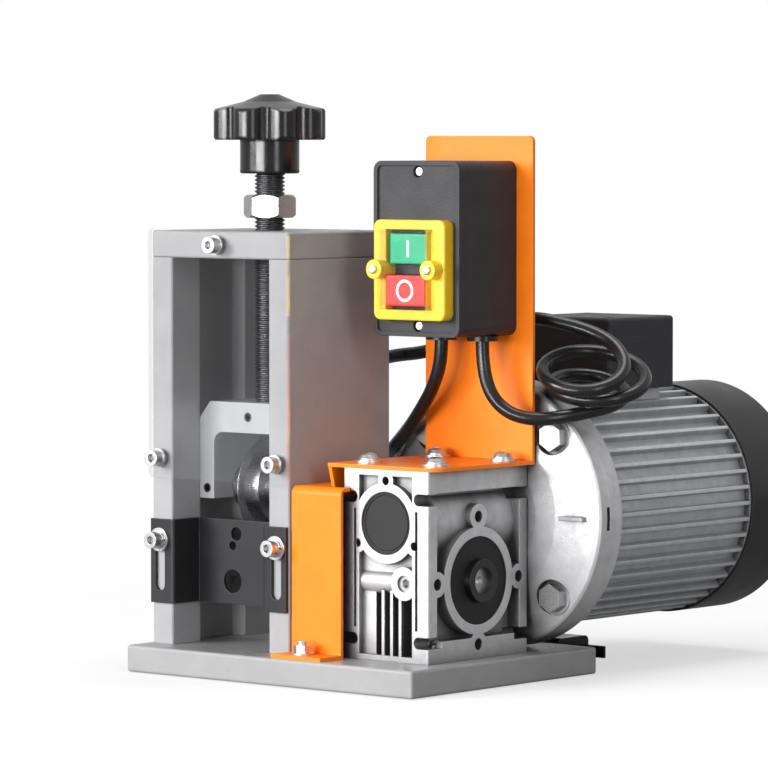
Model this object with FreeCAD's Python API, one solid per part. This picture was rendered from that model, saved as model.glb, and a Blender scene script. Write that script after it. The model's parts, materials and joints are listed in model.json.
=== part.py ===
import FreeCAD, Part
import math
import os

# Bench wire stripping machine, in millimetres.
# X runs right along the front, Y to the back, Z up; the origin is the middle of the base's underside.

os.makedirs("parts", exist_ok=True)
V = FreeCAD.Vector

# Clearances that several fits share
snug = 0.02          # a part pressed or clamped into its seat
running = 0.06       # a shaft that turns in its bore, measured on the radius
sliding = 0.15       # a flat face that slides along another
airgap = 0.4         # a moving part beside a fixed one
screw_gap = 0.25     # a screw's shank in its clearance hole, on the radius

# Base plate
base_w = 194.0
base_d = 150.0
base_t = 14.0
base_round = 1.5
base_counterbore = 7.0

# Head: two side plates and a top plate
head_inset_left = 3.0
head_inset_front = 17.0
head_w = 95.0
head_d = 80.0
head_h = 216.0
side_t = 14.0
top_t = 14.0
groove_depth = 9.0
groove_w = 35.2
groove_setback = 21.5
head_edge = 0.8
head_screw_inset = 14.0
top_counterbore = 7.0
m6_shank = 3.0
m6_head = 5.0
m6_head_h = 6.0
m6_grip = 10.0

# Clear shield on the head's front
shield_t = 3.0
shield_h = 130.0
shield_over = 1.0
shield_corner = 3.0
shield_screw_side = 7.0
shield_screw_low = 10.5
shield_screw_top = 7.0
m5_shank = 2.5
m5_head = 4.25
m5_head_h = 5.0
m5_washer = 5.0
m5_washer_t = 1.0
m5_grip = 9.0

# Drive shaft, feed roller and blade
shaft_setback = 49.0
shaft_height = 40.0
shaft_r = 7.5
shaft_end_gap = 0.5
shaft_tail = 3.5
shaft_step = 4.5
shaft_bearing_r = 14.0
shaft_bearing_w = 7.0
roller_r = 13.0
roller_w = 26.0
roller_edge = 1.0
roller_teeth = 36
roller_tooth = 0.8
cut_offset = 7.5
blade_gap = 1.0
blade_r = 27.0
blade_t = 2.0
blade_bevel = 4.0
hub_flange_r = 19.0
hub_flange_w = 6.0
hub_r = 13.0
axle_r = 4.0
blade_bearing_r = 11.0
blade_bearing_w = 7.0

# Blade block, a fork that slides in the grooves
block_rise = 45.6
block_drop = 5.4
block_leg = 9.7
block_crown = 15.9
block_fork_round = 6.0
block_bevel_w = 16.0
block_bevel_h = 18.9
set_screw_r = 2.5
set_socket_r = 1.45
set_socket_l = 3.0

# Adjusting screw, knob and lock nut
rod_r = 8.0
rod_seat = 14.6
rod_neck_r = 6.2
rod_neck_w = 5.8
rod_neck_up = 7.0
thread_fit = 0.1
nut_up = 6.6
nut_h = 11.9
nut_flats = 24.0
nut_corner = 1.6
knob_up = 29.6
knob_hub_r = 15.5
knob_hub_h = 17.5
knob_lobe_h = 16.2
knob_dome_h = 7.5
knob_r = 30.0
knob_lobes = 8
knob_lobe_r = 8.0
knob_core_r = 24.6
knob_edge = 1.6
knob_shoulder_r = 14.0
knob_shoulder_up = 3.6
knob_crown_r = 5.0
knob_spin = 12.8
knob_socket = 30.0

# Feed guide, a hat-shaped sheet across the head's front
guide_t = 2.0
guide_low = 21.5
guide_h = 44.0
guide_set = 20.0
guide_side_gap = 0.5
guide_slot_low = 6.5
guide_slot_l = 30.0
guide_slot_w = 6.6
guide_washer_r = 6.2
guide_washer_t = 1.2
guide_spring_r = 4.6
guide_spring_t = 1.4
guide_hole_small_r = 2.4
guide_hole_small_up = 30.4
guide_hole_mid_r = 3.6
guide_hole_mid_up = 36.6
guide_hole_mid_side = 2.5
guide_hole_big_r = 6.2
guide_hole_big_up = 11.8

# Gearbox
gear_x = 30.0
gear_w = 56.0
gear_front = 26.0
gear_d = 80.0
gear_h = 97.0
gear_round = 1.2
foot_pitch_x = 44.0
foot_pitch_y = 54.0
side_recess = 8.0
side_frame = 7.0
side_frame_z = 11.0
centre_distance = 30.0
worm_boss_r = 24.5
worm_ring_r = 20.5
worm_lug_pcd = 43.0
worm_lug_r = 5.0
lug_hole_r = 2.2
lug_hole_l = 9.0
worm_cap_r = 16.0
worm_cap_t = 4.0
worm_cap_set = 1.0
corner_slot_w = 6.0
corner_slot_l = 9.5
corner_slot_deep = 11.0
corner_slot_top = 14.3
corner_slot_low = 10.6
front_relief = 3.5
front_post = 10.5
front_band = 3.0
front_pocket_x0 = 19.0
front_pocket_x1 = 13.5
front_pocket_d = 13.0
front_pocket_top = 26.0
fin_t = 1.8
fin_pitch = 5.6
fin_count = 3
fin_side = 2.2
fin_h = 36.0
plug_r = 4.2
plug_boss_r = 8.5
plug_side = 12.0
plug_l = 8.0
column_groove = 1.6
cover_flange_r = 37.5
cover_flange_t = 3.0
cover_bore_r = 27.0
cover_pcd = 65.0

# Output side: sleeve, worm wheel, bearings and seals
sleeve_bore_r = 7.0
sleeve_r = 11.0
sleeve_len = 63.0
output_boss_r = 27.5
output_pcd = 65.0
output_lug_r = 6.5
output_hole_r = 3.0
output_hole_l = 10.0
seal_r = 22.5
seal_t = 6.0
output_bearing_w = 8.0
wheel_r = 19.6
wheel_w = 14.0
wheel_teeth = 30
wheel_tooth = 1.6

# Worm
worm_r = 10.0
worm_root_r = 8.4
worm_len = 36.0
worm_pitch = 4.8
worm_room = 13.0
worm_bearing_r = 16.0
worm_bearing_w = 9.0
worm_end_r = 7.5
worm_hollow = 22.0

# Input flange and motor
flange_r = 69.8
flange_rim = 8.0
flange_neck_r = 33.0
flange_depth = 15.0
flange_pcd = 117.0
flange_bore_r = 47.5
flange_boss_r = 9.0
flange_boss_h = 9.0
flange_spot = 0.5
m8_shank = 4.0
m8_flats = 13.0
m8_head_h = 5.3
m8_nut_h = 6.5
motor_flange_t = 10.0
spigot_l = 3.0
motor_r = 57.0
motor_fin_r = 61.0
motor_fins = 44
motor_bore_r = 50.0
motor_len = 180.0
front_shield_len = 18.5
rear_shield_len = 12.0
fan_room = 46.0
motor_shaft_r = 5.5
motor_bearing_w = 10.0
motor_bearing_r = 16.0
motor_bearing_bore = 6.0
stator_len = 66.0
stator_bore_r = 32.0
winding_len = 12.0
winding_r = 46.0
fan_r = 46.0
fan_blades = 8
fan_hub_r = 12.0
fan_w = 16.0
fan_disc_t = 2.0
fan_cover_r = 62.0
fan_cover_t = 1.4
fan_cover_lap = 11.0
vent_pitch = 11.0
vent_w = 4.0
vent_reach = 52.0

# Terminal box on the motor
terminal_w = 60.0
terminal_d = 56.0
terminal_h = 28.0
terminal_lid_h = 10.0
terminal_behind = 52.0
terminal_wall = 2.5
terminal_pad = 5.0
terminal_round = 3.0

# Orange bracket that carries the switch box
sheet_t = 2.0
bracket_w = 71.0
panel_h = 168.2
bracket_corner = 8.0
panel_corner = 3.0
bracket_drop = 16.0
bracket_washer_r = 7.0
bracket_washer_t = 1.5
bracket_head_r = 5.2
bracket_head_h = 3.6

# Orange guard round the drive shaft
guard_gap = 1.0
guard_w = 33.0
guard_front = 1.0
guard_h = 87.0
guard_foot = 16.0
guard_bend = 4.0
guard_roof_gap = 0.5
guard_bolt_side = 15.0
guard_bolt_front = 9.0
guard_nut_flats = 8.0
guard_nut_h = 4.0
guard_stud = 7.0
guard_washer_r = 6.0

# Switch box
switch_w = 56.7
switch_d = 46.4
switch_h = 89.5
switch_up = 64.0
switch_left = 3.8
switch_wall = 2.5
switch_round = 5.0
switch_lid_d = 9.2
switch_rim = 2.4
switch_rim_depth = 1.2
lid_screw_inset = 5.5
lid_screw_r = 1.5
lid_screw_head = 2.8
lid_screw_well = 3.4
lid_boss_r = 5.0
lid_boss_l = 14.0
lid_screw_depth = 12.0
panel_screw_pitch = 50.0
panel_screw_r = 2.0
panel_screw_head = 3.8
panel_screw_head_h = 2.6

# Switch frame, buttons and clear cover
frame_w = 47.0
frame_h = 51.1
frame_low = 8.5
frame_t = 7.3
frame_round = 4.0
window_w = 30.0
window_h = 41.0
window_up = 5.3
post_r = 4.9
post_l = 6.5
post_side = 17.8
green_w = 24.0
green_h = 15.5
green_proud = 0.5
red_w = 26.0
red_h = 15.7
red_proud = 3.0
button_pitch = 21.2
button_l = 12.0
button_travel = 4.0
button_fit = 0.35
module_w = 40.0
module_h = 45.0
module_d = 28.0
module_nose = 4.0
boot_skin = 0.9
boot_up = 5.6

# Cords
cord_d = 7.0
gland_r = 5.2
gland_flange_r = 8.0
gland_flange_t = 2.5
gland_l = 6.0
lead_from_left = 20.0
power_from_left = 47.2
cords_from_front = 30.4
arc_share = 0.45
cord_lift = 0.1
coil_heading = 40.3
coil_from_angle = -60.0
coil_to_angle = 790.0
coil_spans = 10
coil_r_start = 24.0
coil_r_end = 28.6
coil_r_dip = 2.7
coil_sway = 17.7
coil_tilt_start = 14.7
coil_tilt_end = 31.8
coil_lead_in = 12.8
coil_lead_out = 12.0
mains_plug_sleeve_l = 20.0
mains_plug_sleeve_r = 5.6
mains_plug_l = 30.0
mains_plug_w = 26.0
mains_plug_corner = 3.0
mains_plug_z = 7.6
pin_pitch = 12.7
pin_w = 6.3
pin_t = 1.5
pin_l = 16.0

# Places that follow from the sizes
head_x0 = -base_w / 2 + head_inset_left
head_x1 = head_x0 + head_w
head_y0 = -base_d / 2 + head_inset_front
head_y1 = head_y0 + head_d
head_z1 = base_t + head_h
side_z1 = head_z1 - top_t
head_mid = (head_x0 + head_x1) / 2
inner_x0 = head_x0 + side_t
inner_x1 = head_x1 - side_t
groove_y0 = head_y0 + groove_setback
groove_y1 = groove_y0 + groove_w
rod_y = (groove_y0 + groove_y1) / 2
shaft_y = head_y0 + shaft_setback
shaft_z = base_t + shaft_height
blade_x = head_mid - cut_offset
blade_z = shaft_z + roller_r + blade_gap + blade_r
side_screw_x = (head_x0 + side_t / 2, head_x1 - side_t / 2)
head_screw_y = (head_y0 + head_screw_inset, head_y1 - head_screw_inset)
shield_z1 = head_z1 + shield_over
shield_z0 = shield_z1 - shield_h
shield_screws = [
    (head_mid, head_z1 - shield_screw_top),
    (head_x0 + shield_screw_side, shield_z0 + shield_screw_low),
    (head_x1 - shield_screw_side, shield_z0 + shield_screw_low),
]
guide_z0 = base_t + guide_low
guide_y0 = head_y0 - guide_t
guide_y1 = head_y0 + guide_set
guide_bolt_z = guide_z0 + guide_slot_low + guide_slot_l - guide_slot_w / 2
gear_x1 = gear_x + gear_w
gear_y0 = -base_d / 2 + gear_front
gear_y1 = gear_y0 + gear_d
gear_z1 = base_t + gear_h
gear_mid = gear_x + gear_w / 2
worm_z = shaft_z + centre_distance
foot_bolts = [
    (gear_mid + sx * foot_pitch_x / 2, shaft_y + sy * foot_pitch_y / 2)
    for sx in (-1, 1)
    for sy in (-1, 1)
]
sleeve_x0 = gear_mid - sleeve_len / 2
sleeve_x1 = gear_mid + sleeve_len / 2
output_bearing_x = (gear_x + seal_t, gear_x1 - seal_t - output_bearing_w)
motor_y0 = gear_y1 + flange_depth
motor_y1 = motor_y0 + motor_len
body_y0 = motor_y0 + front_shield_len
body_y1 = motor_y1 - fan_room
front_bearing_y = body_y0 - motor_bearing_w - 2
rear_bearing_y = body_y1
stator_y0 = (body_y0 + body_y1 - stator_len) / 2
terminal_z0 = worm_z + motor_r + terminal_pad
terminal_y0 = motor_y0 + terminal_behind
bracket_x1 = gear_x + gear_w + sheet_t * 2 + 0.5
bracket_x0 = bracket_x1 - bracket_w
bracket_z1 = gear_z1 + sheet_t
panel_y0 = gear_y1 - sheet_t
guard_x0 = head_x1 + guard_gap
guard_x1 = guard_x0 + guard_w
guard_y0 = head_y0 + guard_front
guard_y1 = guard_y0 + sheet_t
guard_bolt = (guard_x0 + guard_bolt_side, guard_y0 - guard_bolt_front)
switch_x0 = bracket_x0 + switch_left
switch_x1 = switch_x0 + switch_w
switch_y0 = panel_y0 - switch_d
switch_seam = switch_y0 + switch_lid_d
switch_z0 = bracket_z1 + switch_up
switch_z1 = switch_z0 + switch_h
switch_mid = (switch_x0 + switch_x1) / 2
face_y = switch_y0 + switch_rim_depth
frame_z0 = switch_z0 + frame_low
frame_y0 = face_y - frame_t
window_z0 = frame_z0 + window_up
window_mid = window_z0 + window_h / 2
green_z = window_mid + button_pitch / 2
red_z = window_mid - button_pitch / 2
post_z = window_mid + 0.1
switch_cords_y = switch_y0 + cords_from_front
lead_x = switch_x0 + lead_from_left
power_x = switch_x0 + power_from_left


def box(x0, x1, y0, y1, z0, z1):
    return Part.makeBox(x1 - x0, y1 - y0, z1 - z0, V(x0, y0, z0))


def cyl_x(x0, x1, y, z, r):
    return Part.makeCylinder(r, x1 - x0, V(x0, y, z), V(1, 0, 0))


def cyl_y(x, y0, y1, z, r):
    return Part.makeCylinder(r, y1 - y0, V(x, y0, z), V(0, 1, 0))


def cyl_z(x, y, z0, z1, r):
    return Part.makeCylinder(r, z1 - z0, V(x, y, z0), V(0, 0, 1))


def prism(points, push):
    """A flat outline through the points, pushed along a vector."""
    wire = Part.makePolygon([V(*p) for p in points] + [V(*points[0])])
    return Part.Face(wire).extrude(V(*push))


def hexagon(centre, axis, flats, height):
    """A hexagonal prism that starts at the centre and runs along the axis."""
    r = flats / math.sqrt(3)
    points = []
    for k in range(6):
        a = math.radians(60 * k + 30)
        points.append((r * math.cos(a), r * math.sin(a), 0))
    solid = prism(points, (0, 0, height))
    turn = FreeCAD.Rotation(V(0, 0, 1), V(*axis))
    solid.Placement = FreeCAD.Placement(V(*centre), turn)
    return solid


def lathe_y(x, z, profile):
    """A closed outline of (radius, y) turned about the line along Y through x and z."""
    points = [V(x + r, y, z) for r, y in profile]
    wire = Part.makePolygon(points + [points[0]])
    return Part.Face(wire).revolve(V(x, 0, z), V(0, 1, 0), 360)


def lathe_x(y, z, profile):
    """A closed outline of (radius, x) turned about the line along X through y and z."""
    points = [V(x, y, z + r) for r, x in profile]
    wire = Part.makePolygon(points + [points[0]])
    return Part.Face(wire).revolve(V(0, y, z), V(1, 0, 0), 360)


def lathe_z(x, y, profile):
    """A closed outline of (radius, z) turned about the line along Z through x and y."""
    points = [V(x + r, y, z) for r, z in profile]
    wire = Part.makePolygon(points + [points[0]])
    return Part.Face(wire).revolve(V(x, y, 0), V(0, 0, 1), 360)


def slot_z(x, y0, y1, z0, z1, w):
    """An upright slot with round ends, cut along Y."""
    r = w / 2
    body = box(x - r, x + r, y0, y1, z0 + r, z1 - r)
    return body.fuse(cyl_y(x, y0, y1, z0 + r, r)).fuse(cyl_y(x, y0, y1, z1 - r, r))


def edges_along(shape, axis):
    """The straight edges of a shape that run along one axis."""
    found = []
    for edge in shape.Edges:
        if len(edge.Vertexes) == 2:
            way = edge.Vertexes[1].Point - edge.Vertexes[0].Point
            if abs(abs(way.normalize().dot(axis)) - 1) < 1e-6:
                found.append(edge)
    return found


def rounded_box(x0, x1, y0, y1, z0, z1, r, axis):
    """A box whose four edges along one axis are rounded."""
    solid = box(x0, x1, y0, y1, z0, z1)
    return solid.makeFillet(r, edges_along(solid, V(*axis)))


def cap_screw(seat, axis, shank, head, head_h, grip):
    """A socket head screw: the head's underside is at the seat, the shank runs against the axis."""
    way = V(*axis)
    start = V(*seat)
    screw = Part.makeCylinder(head, head_h, start, way)
    screw = screw.fuse(Part.makeCylinder(shank, grip, start - way * grip, way))
    top = start + way * (head_h * 0.45)
    socket = hexagon((top.x, top.y, top.z), axis, head * 0.95, head_h)
    return screw.cut(socket).removeSplitter()


def ring(start, axis, outer, inner, width):
    way = V(*axis)
    solid = Part.makeCylinder(outer, width, V(*start), way)
    return solid.cut(Part.makeCylinder(inner, width, V(*start), way))


def ball_bearing(start, axis, outer, inner, width):
    """A sealed bearing with its two races marked by a shallow groove on each face."""
    solid = ring(start, axis, outer, inner, width)
    land = (outer - inner) * 0.25
    depth = 0.5
    way = V(*axis)
    for offset in (0, width - depth):
        at = V(*start) + way * offset
        solid = solid.cut(ring((at.x, at.y, at.z), axis, outer - land, inner + land, depth))
    return solid


def save(name, *solids):
    shape = solids[0] if len(solids) == 1 else Part.makeCompound(list(solids))
    for solid in shape.Solids:
        if not solid.isValid():
            print("INVALID", name)
    print(f"{name}: {len(shape.Solids)} solids, {shape.Volume / 1000:.2f} cm3")
    shape.exportStep(f"parts/{name}.step")


# Base and head

def base_plate():
    plate = box(-base_w / 2, base_w / 2, -base_d / 2, base_d / 2, 0, base_t)
    plate = plate.makeFillet(base_round, plate.Edges)
    places = [(x, y) for x in side_screw_x for y in head_screw_y] + foot_bolts
    for x, y in places:
        plate = plate.cut(cyl_z(x, y, 0, base_t, m6_shank + screw_gap))
        plate = plate.cut(cyl_z(x, y, 0, base_counterbore, m6_head + screw_gap))
    x, y = guard_bolt
    return plate.cut(cyl_z(x, y, base_t - m5_grip, base_t, m5_shank + snug))


def side_plate(left):
    """One upright of the head, with the groove that guides the blade block."""
    x0 = head_x0 if left else inner_x1
    plate = box(x0, x0 + side_t, head_y0, head_y1, base_t, side_z1)
    plate = plate.makeChamfer(head_edge, edges_along(plate, V(0, 0, 1)))
    g0 = inner_x0 - groove_depth if left else inner_x1
    plate = plate.cut(box(g0, g0 + groove_depth, groove_y0, groove_y1, base_t, side_z1))
    seat = head_x0 if left else head_x1 - shaft_bearing_w
    plate = plate.cut(cyl_x(seat, seat + shaft_bearing_w, shaft_y, shaft_z, shaft_bearing_r + snug))
    plate = plate.cut(cyl_x(x0, x0 + side_t, shaft_y, shaft_z, shaft_r + airgap))
    x = side_screw_x[0] if left else side_screw_x[1]
    for y in head_screw_y:
        plate = plate.cut(cyl_z(x, y, base_t, base_t + m6_grip, m6_shank + snug))
        plate = plate.cut(cyl_z(x, y, side_z1 - m6_grip, side_z1, m6_shank + snug))
    plate = plate.cut(cyl_y(x, head_y0, head_y0 + m5_grip, guide_bolt_z, m5_shank + snug))
    return plate.cut(cyl_y(x, head_y0, head_y0 + m5_grip, shield_screws[1][1], m5_shank + snug))


def top_plate():
    plate = box(head_x0, head_x1, head_y0, head_y1, side_z1, head_z1)
    plate = plate.makeChamfer(head_edge, plate.Edges)
    plate = plate.cut(cyl_z(head_mid, rod_y, side_z1, head_z1, rod_r + thread_fit))
    for x in side_screw_x:
        for y in head_screw_y:
            plate = plate.cut(cyl_z(x, y, side_z1, head_z1, m6_shank + screw_gap))
            plate = plate.cut(cyl_z(x, y, head_z1 - top_counterbore, head_z1, m6_head + screw_gap))
    x, z = shield_screws[0]
    return plate.cut(cyl_y(x, head_y0, head_y0 + m5_grip, z, m5_shank + snug))


def head_screws():
    """Eight M6 screws: four down through the top plate, four up through the base."""
    screws = []
    for x in side_screw_x:
        for y in head_screw_y:
            top_seat = (x, y, head_z1 - top_counterbore)
            top_grip = top_t - top_counterbore + m6_grip
            screws.append(cap_screw(top_seat, (0, 0, 1), m6_shank, m6_head, m6_head_h, top_grip))
            low_seat = (x, y, base_counterbore)
            low_grip = base_t - base_counterbore + m6_grip
            screws.append(cap_screw(low_seat, (0, 0, -1), m6_shank, m6_head, m6_head_h, low_grip))
    return screws


def shield():
    x0 = head_x0
    x1 = head_x1 + shield_over
    plate = rounded_box(x0, x1, head_y0 - shield_t, head_y0, shield_z0, shield_z1, shield_corner, (0, 1, 0))
    for x, z in shield_screws:
        plate = plate.cut(cyl_y(x, head_y0 - shield_t, head_y0, z, m5_shank + screw_gap))
    return plate


def shield_screw_set():
    """Three M5 screws with a washer each."""
    solids = []
    face = head_y0 - shield_t
    for x, z in shield_screws:
        solids.append(ring((x, face - m5_washer_t, z), (0, 1, 0), m5_washer, m5_shank + snug, m5_washer_t))
        seat = (x, face - m5_washer_t, z)
        grip = m5_washer_t + shield_t + m5_grip
        solids.append(cap_screw(seat, (0, -1, 0), m5_shank, m5_head, m5_head_h, grip))
    return solids


# Blade carriage

def blade_block():
    x0 = inner_x0 - groove_depth + sliding
    x1 = inner_x1 + groove_depth - sliding
    y0 = groove_y0 + sliding
    y1 = groove_y1 - sliding
    z0 = blade_z - block_drop
    z1 = blade_z + block_rise
    block = box(x0, x1, y0, y1, z0, z1)
    for x, way in ((x0, 1), (x1, -1)):
        corner = [
            (x, y0, z1 - block_bevel_h),
            (x, y0, z1),
            (x + way * block_bevel_w, y0, z1),
        ]
        block = block.cut(prism(corner, (0, y1 - y0, 0)))
    fork_x = (inner_x0 + block_leg, inner_x1 - block_leg)
    fork = box(*fork_x, y0, y1, z0 - block_fork_round * 2, z1 - block_crown)
    fork = fork.makeFillet(block_fork_round, edges_along(fork, V(0, 1, 0)))
    block = block.cut(fork)
    block = block.cut(cyl_x(x0, x1, shaft_y, blade_z, axle_r + snug))
    block = block.cut(cyl_z(head_mid, rod_y, z1 - rod_seat, z1, rod_r + running))
    for x, z, tip in block_screw_places():
        block = block.cut(cyl_y(x, y0, tip, z, set_screw_r + snug))
    return block


def block_screw_places():
    """The x, z and tip y of the three set screws: two hold the axle, one keeps the rod."""
    leg = block_leg / 2
    rod_z = blade_z + block_rise - rod_seat + rod_neck_up
    axle_tip = shaft_y - axle_r
    return [
        (inner_x0 + leg, blade_z, axle_tip),
        (inner_x1 - leg, blade_z, axle_tip),
        (head_mid, rod_z, rod_y - rod_neck_r - running),
    ]


def block_set_screws():
    screws = []
    y0 = groove_y0 + sliding
    for x, z, tip in block_screw_places():
        screw = cyl_y(x, y0, tip, z, set_screw_r)
        socket = hexagon((x, y0, z), (0, 1, 0), set_socket_r * 2, set_socket_l)
        screws.append(screw.cut(socket))
    return screws


def blade_axle():
    x0 = inner_x0 - groove_depth + sliding
    x1 = inner_x1 + groove_depth - sliding
    return cyl_x(x0 + 1, x1 - 1, shaft_y, blade_z, axle_r)


hub_x0 = inner_x0 + block_leg + airgap
hub_x1 = inner_x1 - block_leg - airgap


def blade():
    """The round blade with its hub, which turns freely on the axle."""
    x0 = blade_x - blade_t / 2
    x1 = blade_x + blade_t / 2
    profile = [
        (axle_r + airgap, hub_x0),
        (hub_r, hub_x0),
        (hub_r, x0),
        (blade_r - blade_bevel, x0),
        (blade_r, blade_x - 0.15),
        (blade_r, blade_x + 0.15),
        (blade_r - blade_bevel, x1),
        (hub_flange_r, x1),
        (hub_flange_r, x1 + hub_flange_w),
        (hub_r, x1 + hub_flange_w),
        (hub_r, hub_x1),
        (axle_r + airgap, hub_x1),
    ]
    solid = lathe_x(shaft_y, blade_z, profile)
    for x in (hub_x0, hub_x1 - blade_bearing_w):
        solid = solid.cut(cyl_x(x, x + blade_bearing_w, shaft_y, blade_z, blade_bearing_r + snug))
    return solid


def blade_bearings():
    places = (hub_x0, hub_x1 - blade_bearing_w)
    inner = axle_r + running
    return [
        ball_bearing((x, shaft_y, blade_z), (1, 0, 0), blade_bearing_r, inner, blade_bearing_w)
        for x in places
    ]


# Adjusting screw

def adjusting_rod():
    z0 = blade_z + block_rise - rod_seat
    z1 = head_z1 + knob_up + knob_socket
    rod = cyl_z(head_mid, rod_y, z0, z1, rod_r)
    rod = rod.makeChamfer(1, [e for e in rod.Edges if len(e.Vertexes) == 1])
    neck = z0 + rod_neck_up
    start = (head_mid, rod_y, neck - rod_neck_w / 2)
    return rod.cut(ring(start, (0, 0, 1), rod_r, rod_neck_r, rod_neck_w))


def adjusting_knob():
    """A star knob: a round hub, a ring of lobes and a low dome."""
    z0 = head_z1 + knob_up
    z1 = z0 + knob_hub_h
    z2 = z1 + knob_lobe_h
    z3 = z2 + knob_dome_h
    star = cyl_z(head_mid, rod_y, z1, z2, knob_core_r)
    reach = knob_r - knob_lobe_r
    for k in range(knob_lobes):
        a = math.radians(knob_spin + 360 / knob_lobes * k)
        x = head_mid + reach * math.cos(a)
        y = rod_y + reach * math.sin(a)
        star = star.fuse(cyl_z(x, y, z1, z2 + knob_dome_h, knob_lobe_r))
    star = star.fuse(cyl_z(head_mid, rod_y, z2, z3, knob_core_r))
    outline = [
        (0, z1),
        (knob_r - knob_edge, z1),
        (knob_r, z1 + knob_edge),
        (knob_r, z2 - knob_edge),
        (knob_r - knob_edge, z2),
        (knob_shoulder_r, z2 + knob_shoulder_up),
        (knob_crown_r, z3),
        (0, z3),
    ]
    star = star.common(lathe_z(head_mid, rod_y, outline))
    hub = cyl_z(head_mid, rod_y, z0, z1 + 1, knob_hub_r)
    hub = hub.makeFillet(1.2, [hub.Edges[-1]] if hub.Edges[-1].BoundBox.ZMax < z1 else [hub.Edges[0]])
    knob = star.fuse(hub).removeSplitter()
    return knob.cut(cyl_z(head_mid, rod_y, z0, z0 + knob_socket, rod_r + snug))


def lock_nut():
    z0 = head_z1 + nut_up
    z1 = z0 + nut_h
    nut = hexagon((head_mid, rod_y, z0), (0, 0, 1), nut_flats, nut_h)
    outer = nut_flats / math.sqrt(3)
    flat = nut_flats / 2
    profile = [(0, z0), (flat, z0), (outer, z0 + nut_corner), (outer, z1 - nut_corner), (flat, z1), (0, z1)]
    nut = nut.common(lathe_z(head_mid, rod_y, profile))
    return nut.cut(cyl_z(head_mid, rod_y, z0, z1, rod_r + thread_fit))


# Feed guide, roller and drive shaft

def feed_guide():
    """A sheet bent into a hat: two flanges on the head's front and a set-back plate with wire holes."""
    x0 = inner_x0 + guide_side_gap
    x1 = inner_x1 - guide_side_gap
    z0 = guide_z0
    z1 = guide_z0 + guide_h
    edge0 = head_x0 + guide_side_gap
    edge1 = head_x1 - guide_side_gap
    left = box(edge0, x0 + guide_t, guide_y0, head_y0, z0, z1)
    right = box(x1 - guide_t, edge1, guide_y0, head_y0, z0, z1)
    wall0 = box(x0, x0 + guide_t, guide_y0, guide_y1, z0, z1)
    wall1 = box(x1 - guide_t, x1, guide_y0, guide_y1, z0, z1)
    back = box(x0, x1, guide_y1 - guide_t, guide_y1, z0, z1)
    sheet = left.multiFuse([right, wall0, wall1, back]).removeSplitter()
    corners = [e for e in edges_along(sheet, V(0, 0, 1)) if is_guide_corner(e, x0, x1)]
    sheet = sheet.makeFillet(guide_t * 0.9, corners)
    for x in side_screw_x:
        low = z0 + guide_slot_low
        sheet = sheet.cut(slot_z(x, guide_y0, head_y0, low, low + guide_slot_l, guide_slot_w))
    holes = (
        (blade_x, guide_hole_big_up, guide_hole_big_r),
        (blade_x, guide_hole_small_up, guide_hole_small_r),
        (blade_x + guide_hole_mid_side, guide_hole_mid_up, guide_hole_mid_r),
    )
    for x, up, r in holes:
        sheet = sheet.cut(cyl_y(x, guide_y1 - guide_t, guide_y1, z0 + up, r))
    return sheet


def is_guide_corner(edge, x0, x1):
    """True for the outer side of each of the four bends."""
    at = edge.Vertexes[0].Point
    inside = min(abs(at.x - x0 - guide_t), abs(at.x - x1 + guide_t)) < 0.01
    front = abs(at.y - guide_y0) < 0.01 and inside
    back = abs(at.y - guide_y1) < 0.01 and (abs(at.x - x0) < 0.01 or abs(at.x - x1) < 0.01)
    return front or back


def feed_guide_bolts():
    """Two M5 screws, each with a spring washer and a wide flat washer over its slot."""
    solids = []
    face = guide_y0
    for x in side_screw_x:
        y = face - guide_washer_t
        solids.append(ring((x, y, guide_bolt_z), (0, 1, 0), guide_washer_r, m5_shank + snug, guide_washer_t))
        y -= guide_spring_t
        washer = ring((x, y, guide_bolt_z), (0, 1, 0), guide_spring_r, m5_shank + snug, guide_spring_t)
        gap = box(x, x + guide_spring_r, y, y + guide_spring_t, guide_bolt_z - 0.4, guide_bolt_z + 0.4)
        solids.append(washer.cut(gap))
        grip = head_y0 + m5_grip - y
        solids.append(cap_screw((x, y, guide_bolt_z), (0, -1, 0), m5_shank, m5_head, m5_head_h, grip))
    return solids


def drive_shaft_bearings():
    inner = shaft_r + running
    return [
        ball_bearing((x, shaft_y, shaft_z), (1, 0, 0), shaft_bearing_r, inner, shaft_bearing_w)
        for x in (head_x0, head_x1 - shaft_bearing_w)
    ]


def drive_shaft():
    x0 = head_x0 + shaft_end_gap
    x1 = sleeve_x1 - shaft_tail
    step = sleeve_x0 - shaft_step
    shaft = cyl_x(x0, step, shaft_y, shaft_z, shaft_r)
    shaft = shaft.fuse(cyl_x(step, x1, shaft_y, shaft_z, sleeve_bore_r - snug))
    return shaft.cut(Part.makeCone(2.2, 0, 3, V(x1, shaft_y, shaft_z), V(-1, 0, 0))).removeSplitter()


def toothed_disc(y, z, x0, x1, r, teeth, tooth):
    """A wheel along X whose rim has straight teeth."""
    points = []
    for k in range(teeth * 2):
        reach = r if k % 2 == 0 else r - tooth
        for side in (-0.32, 0.32):
            a = 2 * math.pi * (k + side) / (teeth * 2)
            points.append((x0, y + reach * math.cos(a), z + reach * math.sin(a)))
    return prism(points, (x1 - x0, 0, 0))


def feed_roller():
    x0 = blade_x - roller_w / 2
    x1 = blade_x + roller_w / 2
    wheel = toothed_disc(shaft_y, shaft_z, x0, x1, roller_r, roller_teeth, roller_tooth)
    low = roller_r - roller_edge
    round_off = lathe_x(
        shaft_y,
        shaft_z,
        [(0, x0), (low, x0), (roller_r, x0 + roller_edge), (roller_r, x1 - roller_edge), (low, x1), (0, x1)],
    )
    return wheel.common(round_off).cut(cyl_x(x0, x1, shaft_y, shaft_z, shaft_r + snug))


# Gearbox

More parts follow.
